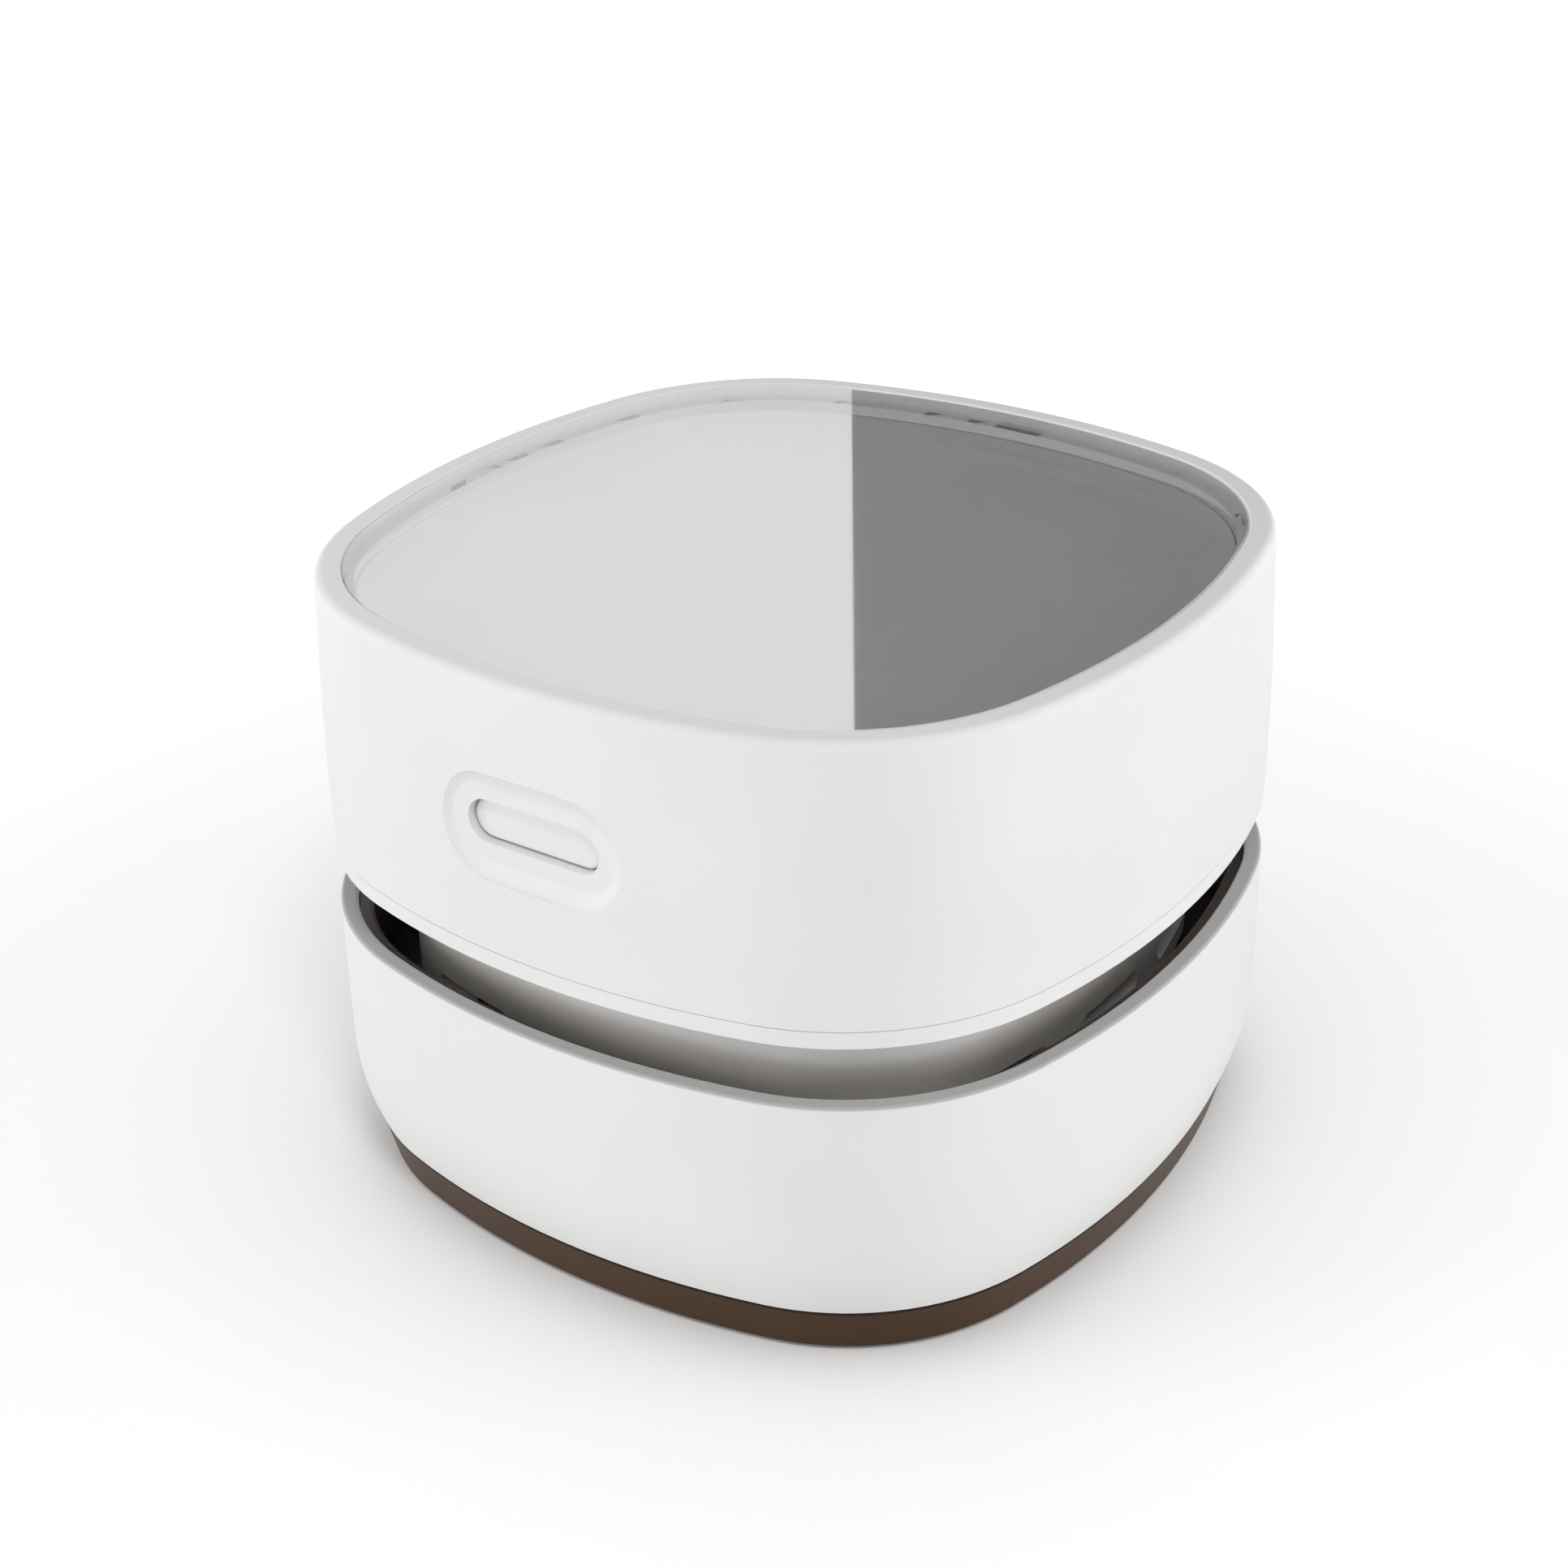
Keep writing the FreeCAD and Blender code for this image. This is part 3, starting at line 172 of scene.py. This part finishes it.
def rgba(colour, gain=1.0):
    return (min(colour[0] * gain, 1.0), min(colour[1] * gain, 1.0), min(colour[2] * gain, 1.0), 1.0)


def moulded(name, colour, rough=0.36, grain=0.04, mottle=0.03, coat=0.0, relief=0.00002, shine=0.5,
            band=None):
    """Injection-moulded plastic: fine spark-eroded grain and a slow drift of tone.

    band is (low, high, colour), a band of painted shade: above the height low the tone goes over to colour,
    which it reaches at high.
    """
    make = Finish(name)
    drift = make.noise(55.0, 2.0)
    fine = make.noise(5200.0, 2.0, 0.6)
    tone = make.mix(drift.between(0.3, 0.7), rgba(colour, 1.0 - mottle), rgba(colour, 1.0 + mottle * 0.4))
    if band:
        # Painted shade: the tone goes over to the band's colour by height.
        x, y, z = make.axes()
        tone = make.mix(z.between(band[0], band[1]), tone, rgba(band[2]))
    grained = make.bump(fine, grain, relief)
    wear = rough + (drift - 0.5) * 0.08 + (fine - 0.5) * 0.06
    return make.surface(Base_Color=tone, Roughness=wear, Normal=grained, Coat_Weight=coat,
                        Coat_Roughness=0.12, IOR=1.5, Specular_IOR_Level=shine)


def metal(name, colour, rough=0.3, per_metre=2600.0):
    """Plated or ground metal with fine turning marks round Z and slight stains."""
    make = Finish(name)
    x, y, z = make.axes()
    rings = (z * per_metre).sine() * 0.5 + 0.5
    stain = make.noise(240.0, 3.0)
    tone = make.mix(stain, rgba(colour, 0.8), rgba(colour, 1.1))
    return make.surface(Base_Color=tone, Roughness=rough + stain * 0.14, Metallic=1.0,
                        Normal=make.bump(rings * 0.5 + stain * 0.5, 0.15, 0.00003))


def rubber(name, colour):
    """Soft rubber: matt, with a fine talc-like speckle."""
    make = Finish(name)
    speck = make.noise(1800.0, 4.0, 0.7)
    tone = make.mix(speck.between(0.45, 0.75), rgba(colour), rgba(colour, 1.7))
    return make.surface(Base_Color=tone, Roughness=0.72 + speck * 0.12, Normal=make.bump(speck, 0.2, 0.00004))


def dress(names, material):
    """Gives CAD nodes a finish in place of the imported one."""
    for name in names:
        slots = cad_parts[name].data.materials
        slots.clear()
        slots.append(material)


def add_surface(name, points, quads, body, material, smooth=True):
    """A mesh piece from arrays of points (metres) and faces, riding on a body."""
    mesh = bpy.data.meshes.new(name)
    mesh.from_pydata(points.tolist(), [], quads.tolist())
    mesh.polygons.foreach_set("use_smooth", [smooth] * len(mesh.polygons))
    mesh.materials.append(material)
    mesh.update()
    piece = bpy.data.objects.new(name, mesh)
    bpy.context.scene.collection.objects.link(piece)
    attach(piece, body)
    return piece


def tubes(paths, radii, sides):
    """Closed tubes round many paths at once.

    paths is (count, steps, 3) and radii (count, steps). A ring point is the path
    point plus radius * (cos t * side + sin t * lift), where side and lift are two
    fixed directions across the path; the ends are closed by one polygon each.
    """
    count, steps, _ = paths.shape
    along = paths[:, -1] - paths[:, 0]
    along = along / np.linalg.norm(along, axis=1, keepdims=True)
    helper = np.where(np.abs(along[:, 2:3]) > 0.8, np.array([[1.0, 0.0, 0.0]]), np.array([[0.0, 0.0, 1.0]]))
    side = np.cross(along, helper)
    side = side / np.linalg.norm(side, axis=1, keepdims=True)
    lift = np.cross(side, along)
    angle = np.arange(sides) * (2 * math.pi / sides)
    ring = (np.cos(angle)[None, None, :, None] * side[:, None, None, :]
            - np.sin(angle)[None, None, :, None] * lift[:, None, None, :])
    points = paths[:, :, None, :] + radii[:, :, None, None] * ring
    index = np.arange(count * steps * sides).reshape(count, steps, sides)
    nxt = np.roll(index, -1, axis=2)
    quads = np.stack([index[:, :-1], nxt[:, :-1], nxt[:, 1:], index[:, 1:]], axis=-1).reshape(-1, 4)
    start = index[:, 0, ::-1]
    stop = index[:, -1, :]
    return points.reshape(-1, 3), quads, np.concatenate([start, stop])


class VacuumFinishes(bpy.types.PropertyGroup):
    """Colours and sizes of the finishes."""

    shell: bpy.props.FloatVectorProperty(
        name="Shell", description="White of the two shells", subtype="COLOR", default=(0.795, 0.795, 0.79))
    shell_rough: bpy.props.FloatProperty(
        name="Shell Roughness", description="Satin of the shells", default=0.42, min=0.05, max=1.0, subtype="FACTOR")
    deck: bpy.props.FloatVectorProperty(
        name="Deck", description="Panel under the clear cover", subtype="COLOR", default=(0.87, 0.868, 0.86))
    # Whiter than the shells, though it is the same white plastic: painted light that lifts the shade in the exhaust
    # gap.
    neck: bpy.props.FloatVectorProperty(
        name="Neck", description="Fan housing in the exhaust gap", subtype="COLOR", default=(0.94, 0.94, 0.935))
    cup: bpy.props.FloatVectorProperty(
        name="Cup", description="Dark inner cup", subtype="COLOR", default=(0.022, 0.014, 0.010))
    base: bpy.props.FloatVectorProperty(
        name="Base", description="Brown base", subtype="COLOR", default=(0.056, 0.024, 0.007))
    cover_alpha: bpy.props.FloatProperty(
        name="Cover Gloss", description="Share of light that the clear cover mirrors", default=0.335,
        min=0.0, max=1.0, subtype="FACTOR")
    bristle_radius: bpy.props.FloatProperty(
        name="Bristle Radius", description="Radius of one bristle", default=0.00011, unit="LENGTH", precision=5)
    bristles: bpy.props.IntProperty(
        name="Bristles", description="Bristles in the brush ring", default=2400, min=100, max=6000)
    thread_pitch: bpy.props.FloatProperty(
        name="Thread Pitch", description="Distance from thread to thread in the filter", default=0.0009,
        unit="LENGTH", precision=5)


class VacuumStudio(bpy.types.PropertyGroup):
    """Camera and light."""

    place: bpy.props.FloatVectorProperty(
        name="Camera Place", description="Where the camera stands", subtype="TRANSLATION", unit="LENGTH",
        default=(0.133318, -0.191527, 0.156715))
    azimuth: bpy.props.FloatProperty(
        name="Azimuth", description="Camera's angle round the object", default=math.radians(35.342), subtype="ANGLE")
    elevation: bpy.props.FloatProperty(
        name="Elevation", description="Camera's angle above the desk", default=math.radians(27.426), subtype="ANGLE")
    roll: bpy.props.FloatProperty(
        name="Roll", description="Camera's tilt about its view", default=math.radians(-1.231), subtype="ANGLE")
    lens: bpy.props.FloatProperty(
        name="Lens", description="Focal length in millimetres", default=61.2, min=10.0)
    sky: bpy.props.FloatProperty(
        name="Sky", description="Strength of the even light", default=0.46, min=0.0)


class VACUUM_OT_shells(bpy.types.Operator):
    """Satin white finish on the shells, the ring under the seam and the button"""

    bl_idname = "vacuum.shells"
    bl_label = "Shells and Button"

    def execute(self, context):
        settings = context.scene.vacuum_finishes
        white = moulded("satin_white", settings.shell, settings.shell_rough, mottle=0.02)
        dress(["upper_shell", "chassis_plate"], white)
        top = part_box("lower_shell")[1][2]
        # The lower shell's top rim goes grey: painted shade where the upper shell overhangs it.
        rim = (top - 0.35 * MM, top - 0.12 * MM, (0.45, 0.445, 0.44))
        dress(["lower_shell"], moulded("rim_white_painted_shade", settings.shell, settings.shell_rough, mottle=0.02, band=rim))
        dress(["power_button"], moulded("button_white", settings.shell, 0.34, mottle=0.015))
        return {"FINISHED"}


class VACUUM_OT_cover(bpy.types.Operator):
    """Clear glossy cover and the panel under it"""

    bl_idname = "vacuum.cover"
    bl_label = "Cover and Deck"

    def execute(self, context):
        settings = context.scene.vacuum_finishes
        make = Finish("clear_gloss")
        haze = make.noise(90.0, 2.0)
        clear = make.surface(Base_Color=(0.95, 0.955, 0.95, 1.0), Roughness=0.015 + haze * 0.02,
                             Metallic=1.0, Alpha=settings.cover_alpha)
        clear.surface_render_method = "BLENDED"
        dress(["clear_cover"], clear)
        dress(["deck_panel"], moulded("deck_grey", settings.deck, 0.4, mottle=0.03))
        return {"FINISHED"}


class VACUUM_OT_neck(bpy.types.Operator):
    """Fan housing, seal and filter frame"""

    bl_idname = "vacuum.neck"
    bl_label = "Neck and Seal"

    def execute(self, context):
        settings = context.scene.vacuum_finishes
        dress(["neck_housing"], self.housing(settings.neck))
        dress(["filter_frame"], moulded("filter_plastic", (0.66, 0.66, 0.64), 0.45))
        dress(["seal_ring", "motor_damper_ring"], rubber("seal_rubber", (0.02, 0.02, 0.021)))
        return {"FINISHED"}

    def housing(self, colour):
        """Satin plastic, darker and browner towards the rim of the cup: painted shade where the upper shell shades
        the exhaust gap.
        """
        make = Finish("neck_satin_painted_shade")
        x, y, z = make.axes()
        drift = make.noise(55.0, 2.0)
        # Painted shade: the tone darkens and browns towards the bottom of the gap.
        height = (z + drift * 0.0008).between(26.8 * MM, 29.8 * MM)
        tone = make.mix(height, rgba((colour[0] * 0.92, colour[1] * 0.88, colour[2] * 0.84)), rgba(colour))
        return make.surface(Base_Color=tone, Roughness=0.34 + drift * 0.06,
                            Normal=make.bump(make.noise(5200.0, 2.0, 0.6), 0.04, 0.00002))


class VACUUM_OT_dark_parts(bpy.types.Operator):
    """Dark cup and brown base"""

    bl_idname = "vacuum.dark_parts"
    bl_label = "Cup and Base"

    def execute(self, context):
        settings = context.scene.vacuum_finishes
        cup = moulded("cup_brown_black", settings.cup, 0.34, mottle=0.12, shine=0.35)
        dress(["dust_cup", "cup_collar"], cup)
        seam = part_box("base_plate")[1][2]
        # A near-black line just under the base's top edge: painted shadow of the gap between base and lower shell.
        seam_shadow = (seam - 0.5 * MM, seam - 0.25 * MM, (0.008, 0.006, 0.005))
        base = moulded("base_brown_painted_seam_shadow", settings.base, 0.42, mottle=0.12, shine=0.2, band=seam_shadow)
        dress(["base_plate", "intake_nozzle"], base)
        dress(["glide_feet"], rubber("foot_rubber", (0.03, 0.022, 0.018)))
        return {"FINISHED"}


class VACUUM_OT_works(bpy.types.Operator):
    """Motor, battery, boards and screws"""

    bl_idname = "vacuum.works"
    bl_label = "Motor and Battery"

    def execute(self, context):
        dress(["motor_can"], metal("zinc_can", (0.62, 0.62, 0.64), 0.32))
        dress(["motor_shaft"], metal("ground_shaft", (0.72, 0.72, 0.74), 0.18))
        dress(["motor_screws", "case_screws", "base_screws"], metal("screw_zinc", (0.55, 0.55, 0.57), 0.35))
        dress(["charging_socket"], metal("socket_plate", (0.7, 0.7, 0.72), 0.25, 900.0))
        dress(["motor_magnets", "motor_rotor"], metal("dark_iron", (0.12, 0.12, 0.13), 0.55))
        dress(["motor_end_bell", "push_switch", "switch_plunger", "battery_cradle"],
              moulded("black_plastic", (0.022, 0.022, 0.024), 0.45, mottle=0.1))
        dress(["impeller"], moulded("impeller_grey", (0.06, 0.06, 0.066), 0.4, mottle=0.1))
        dress(["battery_cell"], moulded("sleeve_blue", (0.02, 0.11, 0.27), 0.22, mottle=0.06, coat=0.3))
        dress(["control_board", "charging_board"], self.solder_mask())
        return {"FINISHED"}

    def solder_mask(self):
        """Green board: lighter copper traces under the mask, from two sets of stripes."""
        make = Finish("solder_mask")
        x, y, z = make.axes()
        lanes = (x * 3100.0).sine() * (z * 2300.0).sine()
        traces = lanes.between(0.35, 0.5)
        tone = make.mix(traces, (0.008, 0.075, 0.03, 1.0), (0.03, 0.2, 0.07, 1.0))
        return make.surface(Base_Color=tone, Roughness=0.3 + traces * 0.1, Normal=make.bump(traces, 0.4, 0.00003))


class VACUUM_OT_brush(bpy.types.Operator):
    """Bristles of the brush ring"""

    bl_idname = "vacuum.brush"
    bl_label = "Brush"

    def execute(self, context):
        settings = context.scene.vacuum_finishes
        low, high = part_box("brush_ring")
        outer = high[0]
        inner = outer - HOLDER_WIDTH
        top = high[2]
        ledge = top - HOLDER_HEIGHT
        tip = low[2]
        rng = np.random.default_rng(7)
        count = settings.bristles
        # Bristles sit in two rings of tufts; each leans out a little and tapers to its tip.
        tuft = rng.integers(0, TUFTS, count) * (2 * math.pi / TUFTS)
        row = rng.integers(0, 2, count)
        radius = inner + (outer - inner) * (0.32 + 0.36 * row)
        spread = rng.normal(0.0, 0.00036, (count, 2))
        root_r = radius + spread[:, 0]
        root_a = tuft + row * (math.pi / TUFTS) + spread[:, 1] / radius
        lean_r = rng.normal(0.0, 0.00022, count) + 0.0001
        lean_a = rng.normal(0.0, 0.00022, count)
        steps = np.linspace(0.0, 1.0, 4)
        r = root_r[:, None] + lean_r[:, None] * steps ** 2
        a = root_a[:, None] + (lean_a / radius)[:, None] * steps ** 2
        z = (ledge + 0.0002) + (tip - ledge - 0.0002 + rng.uniform(0, 0.0002, count)[:, None]) * steps
        paths = np.stack([r * np.cos(a), r * np.sin(a), z], axis=-1)
        radii = np.broadcast_to(settings.bristle_radius * (1.0 - 0.45 * steps), (count, 4))
        points, quads, caps = tubes(paths, radii, 4)
        make = Finish("bristle_nylon")
        streak = make.noise(3800.0, 2.0)
        tone = make.mix(streak, (0.012, 0.009, 0.008, 1.0), (0.05, 0.036, 0.03, 1.0))
        nylon = make.surface(Base_Color=tone, Roughness=0.35 + streak * 0.2)
        faces = np.concatenate([quads, caps])
        hair = add_surface("brush_bristles", points, faces, "dust_base", nylon)
        self.holder(inner, outer, ledge, top)
        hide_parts("brush_ring")
        return {"FINISHED"}

    def holder(self, inner, outer, low, high):
        """Ring of the section (radius, height) turned about Z: a rounded bar with a groove along its middle."""
        t = np.linspace(0, 2 * math.pi, 41)[:-1]
        half = (outer - inner) / 2
        rise = (high - low) / 2
        # A rounded rectangle as a power-of-six oval, dented by the groove below.
        bulge = (np.abs(np.cos(t)) ** 6 + np.abs(np.sin(t)) ** 6) ** (-1 / 6)
        r = (inner + outer) / 2 + half * bulge * np.cos(t)
        z = (low + high) / 2 + rise * bulge * np.sin(t)
        z = z + 0.00022 * np.exp(-((r - (inner + outer) / 2) / (half * 0.55)) ** 4) * (np.sin(t) < -0.3)
        turn = np.linspace(0, 2 * math.pi, 145)[:-1]
        points = np.stack([r[None, :] * np.cos(turn)[:, None], r[None, :] * np.sin(turn)[:, None],
                           np.broadcast_to(z, (turn.size, t.size))], axis=-1)
        index = np.arange(turn.size * t.size).reshape(turn.size, t.size)
        ahead = np.roll(index, -1, axis=0)
        faces = np.stack([index, ahead, np.roll(ahead, -1, axis=1), np.roll(index, -1, axis=1)], axis=-1)
        ring = add_surface("brush_holder", points.reshape(-1, 3), faces.reshape(-1, 4), "dust_base",
                           moulded("holder_black", (0.02, 0.017, 0.016), 0.42, mottle=0.1))
        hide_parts("brush_ring")
        return ring


class VACUUM_OT_filter(bpy.types.Operator):
    """Woven mesh of the filter"""

    bl_idname = "vacuum.filter"
    bl_label = "Filter Weave"

    def execute(self, context):
        settings = context.scene.vacuum_finishes
        low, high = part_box("filter_mesh")
        reach = high[0]
        pitch = settings.thread_pitch
        middle = (low[2] + high[2]) / 2
        swing = (high[2] - low[2]) / 4 * 0.9
        lanes = np.arange(-math.floor(reach / pitch) + 0.5, math.floor(reach / pitch), 1.0) * pitch
        steps = 2 * lanes.size + 1
        half = np.sqrt(np.maximum(reach ** 2 - lanes ** 2, 0)) - 0.0001
        run = half[:, None] * np.linspace(-1, 1, steps)[None, :]
        sign = np.where(np.arange(lanes.size) % 2 == 0, 1.0, -1.0)[:, None]
        # A thread rises and dips as a cosine of its way, half a wave for each thread that it crosses.
        wave = swing * sign * np.cos(math.pi * (run / pitch - 0.5))
        across = np.broadcast_to(lanes[:, None], run.shape)
        warp = np.stack([run, across, middle + wave], axis=-1)
        weft = np.stack([across, run, middle - wave], axis=-1)
        radii = np.full(run.shape, swing * 0.8)
        points_a, quads_a, caps_a = tubes(warp, radii, 3)
        points_b, quads_b, caps_b = tubes(weft, radii, 3)
        shift = len(points_a)
        points = np.concatenate([points_a, points_b])
        quads = np.concatenate([quads_a, quads_b + shift])
        make = Finish("filter_thread")
        fuzz = make.noise(2500.0, 3.0)
        tone = make.mix(fuzz, (0.6, 0.6, 0.57, 1.0), (0.8, 0.8, 0.77, 1.0))
        thread = make.surface(Base_Color=tone, Roughness=0.75 + fuzz * 0.15)
        weave = add_surface("filter_weave", points, quads, "filter", thread)
        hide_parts("filter_mesh")
        return {"FINISHED"}


class VACUUM_OT_studio(bpy.types.Operator):
    """Floor, light and camera"""

    bl_idname = "vacuum.studio"
    bl_label = "Studio"

    def execute(self, context):
        scene = context.scene
        settings = scene.vacuum_studio
        self.floor()
        self.card()
        self.world(scene, settings.sky)
        for lamp in LAMPS:
            self.lamp(*lamp)
        a, e = settings.azimuth, settings.elevation
        back = Vector((math.sin(a) * math.cos(e), -math.cos(a) * math.cos(e), math.sin(e)))
        across = Vector((math.cos(a), math.sin(a), 0.0))
        rise = back.cross(across)
        side = across * math.cos(settings.roll) + rise * math.sin(settings.roll)
        up = rise * math.cos(settings.roll) - across * math.sin(settings.roll)
        camera = bpy.data.objects.new("camera", bpy.data.cameras.new("camera"))
        camera.data.lens = settings.lens
        camera.data.sensor_width = 36.0
        camera.data.clip_start = 0.01
        scene.collection.objects.link(camera)
        turn = Matrix((side, up, back)).transposed().to_4x4()
        camera.matrix_world = Matrix.Translation(settings.place) @ turn
        scene.camera = camera
        scene.view_settings.view_transform = "Standard"
        return {"FINISHED"}

    def floor(self):
        """Pale floor that the camera sees as near white, with the object's shadow kept and a painted contact shadow
        near its base.
        """
        mesh = bpy.data.meshes.new("floor")
        size = FLOOR_REACH
        corners = [(-size, -size, 0), (size, -size, 0), (size, size, 0), (-size, size, 0)]
        mesh.from_pydata(corners, [], [(0, 1, 2, 3)])
        floor = bpy.data.objects.new("floor", mesh)
        bpy.context.scene.collection.objects.link(floor)
        make = Finish("floor_pale")
        seen = make.node("ShaderNodeLightPath")
        lit = make.node("ShaderNodeBsdfDiffuse", None, {"Color": (0.9, 0.9, 0.9, 1.0)})
        # Ambient occlusion darkens the glow round the object's base: a painted contact shadow.
        near = make.node("ShaderNodeAmbientOcclusion", {"samples": 8}, {"Distance": 0.035})
        glow = make.node("ShaderNodeEmission", None, {"Color": near, "Strength": 1.75})
        away = make.node("ShaderNodeVectorMath", {"operation": "LENGTH"}, {0: make.place()}).out("Value")
        # Near the object the floor is mostly lit, so that it takes the shadow; further off it glows.
        white = seen.out("Is Camera Ray") + seen.out("Is Glossy Ray") + seen.out("Is Transmission Ray")
        factor = white * (away.between(0.07, 0.3) * 0.55 + 0.22)
        both = make.node("ShaderNodeMixShader", None, {0: factor, 1: lit, 2: glow})
        make.links.new(both.node.outputs[0], make.output.inputs["Surface"])
        mesh.materials.append(make.material)

    def card(self):
        """Dark card behind the object, seen only as the mirror image in the clear cover."""
        edges = [(CARD_LEFT, CARD_LOW), (CARD_RIGHT, CARD_LOW), (CARD_RIGHT, CARD_HIGH), (CARD_LEFT, CARD_HIGH)]
        mesh = bpy.data.meshes.new("dark_card")
        corners = [tuple(CARD_BEHIND + CARD_ALONG * x + Vector((0, 0, z))) for x, z in edges]
        mesh.from_pydata(corners, [], [(0, 1, 2, 3)])
        card = bpy.data.objects.new("dark_card", mesh)
        bpy.context.scene.collection.objects.link(card)
        make = Finish("card_dark")
        black = make.node("ShaderNodeEmission", None, {"Color": (0.02, 0.019, 0.018, 1.0), "Strength": 1.0})
        make.links.new(black.node.outputs[0], make.output.inputs["Surface"])
        mesh.materials.append(make.material)
        card.visible_camera = False
        card.visible_diffuse = False
        card.visible_shadow = False
        card.visible_transmission = False

    def world(self, scene, sky):
        """Even grey light, white where the camera or a mirror looks at it."""
        world = bpy.data.worlds.new("studio")
        world.use_nodes = True
        nodes, links = world.node_tree.nodes, world.node_tree.links
        nodes.clear()
        out = nodes.new("ShaderNodeOutputWorld")
        path = nodes.new("ShaderNodeLightPath")
        even = nodes.new("ShaderNodeBackground")
        even.inputs[0].default_value = (1.0, 1.0, 1.0, 1.0)
        even.inputs[1].default_value = sky
        plain = nodes.new("ShaderNodeBackground")
        plain.inputs[0].default_value = (1.0, 1.0, 0.98, 1.0)
        plain.inputs[1].default_value = 1.0
        either = nodes.new("ShaderNodeMath")
        either.operation = "MAXIMUM"
        links.new(path.outputs["Is Camera Ray"], either.inputs[0])
        links.new(path.outputs["Is Glossy Ray"], either.inputs[1])
        mix = nodes.new("ShaderNodeMixShader")
        links.new(either.outputs[0], mix.inputs[0])
        links.new(even.outputs[0], mix.inputs[1])
        links.new(plain.outputs[0], mix.inputs[2])
        links.new(mix.outputs[0], out.inputs[0])
        scene.world = world

    def lamp(self, name, place, width, height, power):
        """Soft area lamp that faces the middle of the object."""
        data = bpy.data.lights.new(name, "AREA")
        data.shape = "RECTANGLE"
        data.size, data.size_y = width, height
        data.energy = power
        data.color = (1.0, 1.0, 0.995)
        lamp = bpy.data.objects.new(name, data)
        bpy.context.scene.collection.objects.link(lamp)
        lamp.location = place
        aim = LAMP_AIM - Vector(place)
        lamp.rotation_euler = aim.to_track_quat("-Z", "Y").to_euler()
        lamp.visible_glossy = False


class VACUUM_PT_panel(bpy.types.Panel):
    """The vacuum's pieces and its studio"""

    bl_label = "Desktop Vacuum"
    bl_idname = "VACUUM_PT_panel"
    bl_space_type = "VIEW_3D"
    bl_region_type = "UI"
    bl_category = "Vacuum"

    def draw(self, context):
        for group in (context.scene.vacuum_finishes, context.scene.vacuum_studio):
            for name in group.__annotations__:
                self.layout.prop(group, name)
        for operator in OPERATORS:
            self.layout.operator(operator.bl_idname)


OPERATORS = (
    VACUUM_OT_shells, VACUUM_OT_cover, VACUUM_OT_neck, VACUUM_OT_dark_parts,
    VACUUM_OT_works, VACUUM_OT_brush, VACUUM_OT_filter, VACUUM_OT_studio,
)
CLASSES = (VacuumFinishes, VacuumStudio) + OPERATORS + (VACUUM_PT_panel,)


def register():
    for item in CLASSES:
        bpy.utils.register_class(item)
    bpy.types.Scene.vacuum_finishes = bpy.props.PointerProperty(type=VacuumFinishes)
    bpy.types.Scene.vacuum_studio = bpy.props.PointerProperty(type=VacuumStudio)


def unregister():
    del bpy.types.Scene.vacuum_studio
    del bpy.types.Scene.vacuum_finishes
    for item in reversed(CLASSES):
        bpy.utils.unregister_class(item)


def main():
    register()
    bpy.ops.vacuum.shells()
    bpy.ops.vacuum.cover()
    bpy.ops.vacuum.neck()
    bpy.ops.vacuum.dark_parts()
    bpy.ops.vacuum.works()
    bpy.ops.vacuum.brush()
    bpy.ops.vacuum.filter()
    bpy.ops.vacuum.studio()


if __name__ == "__main__":
    main()
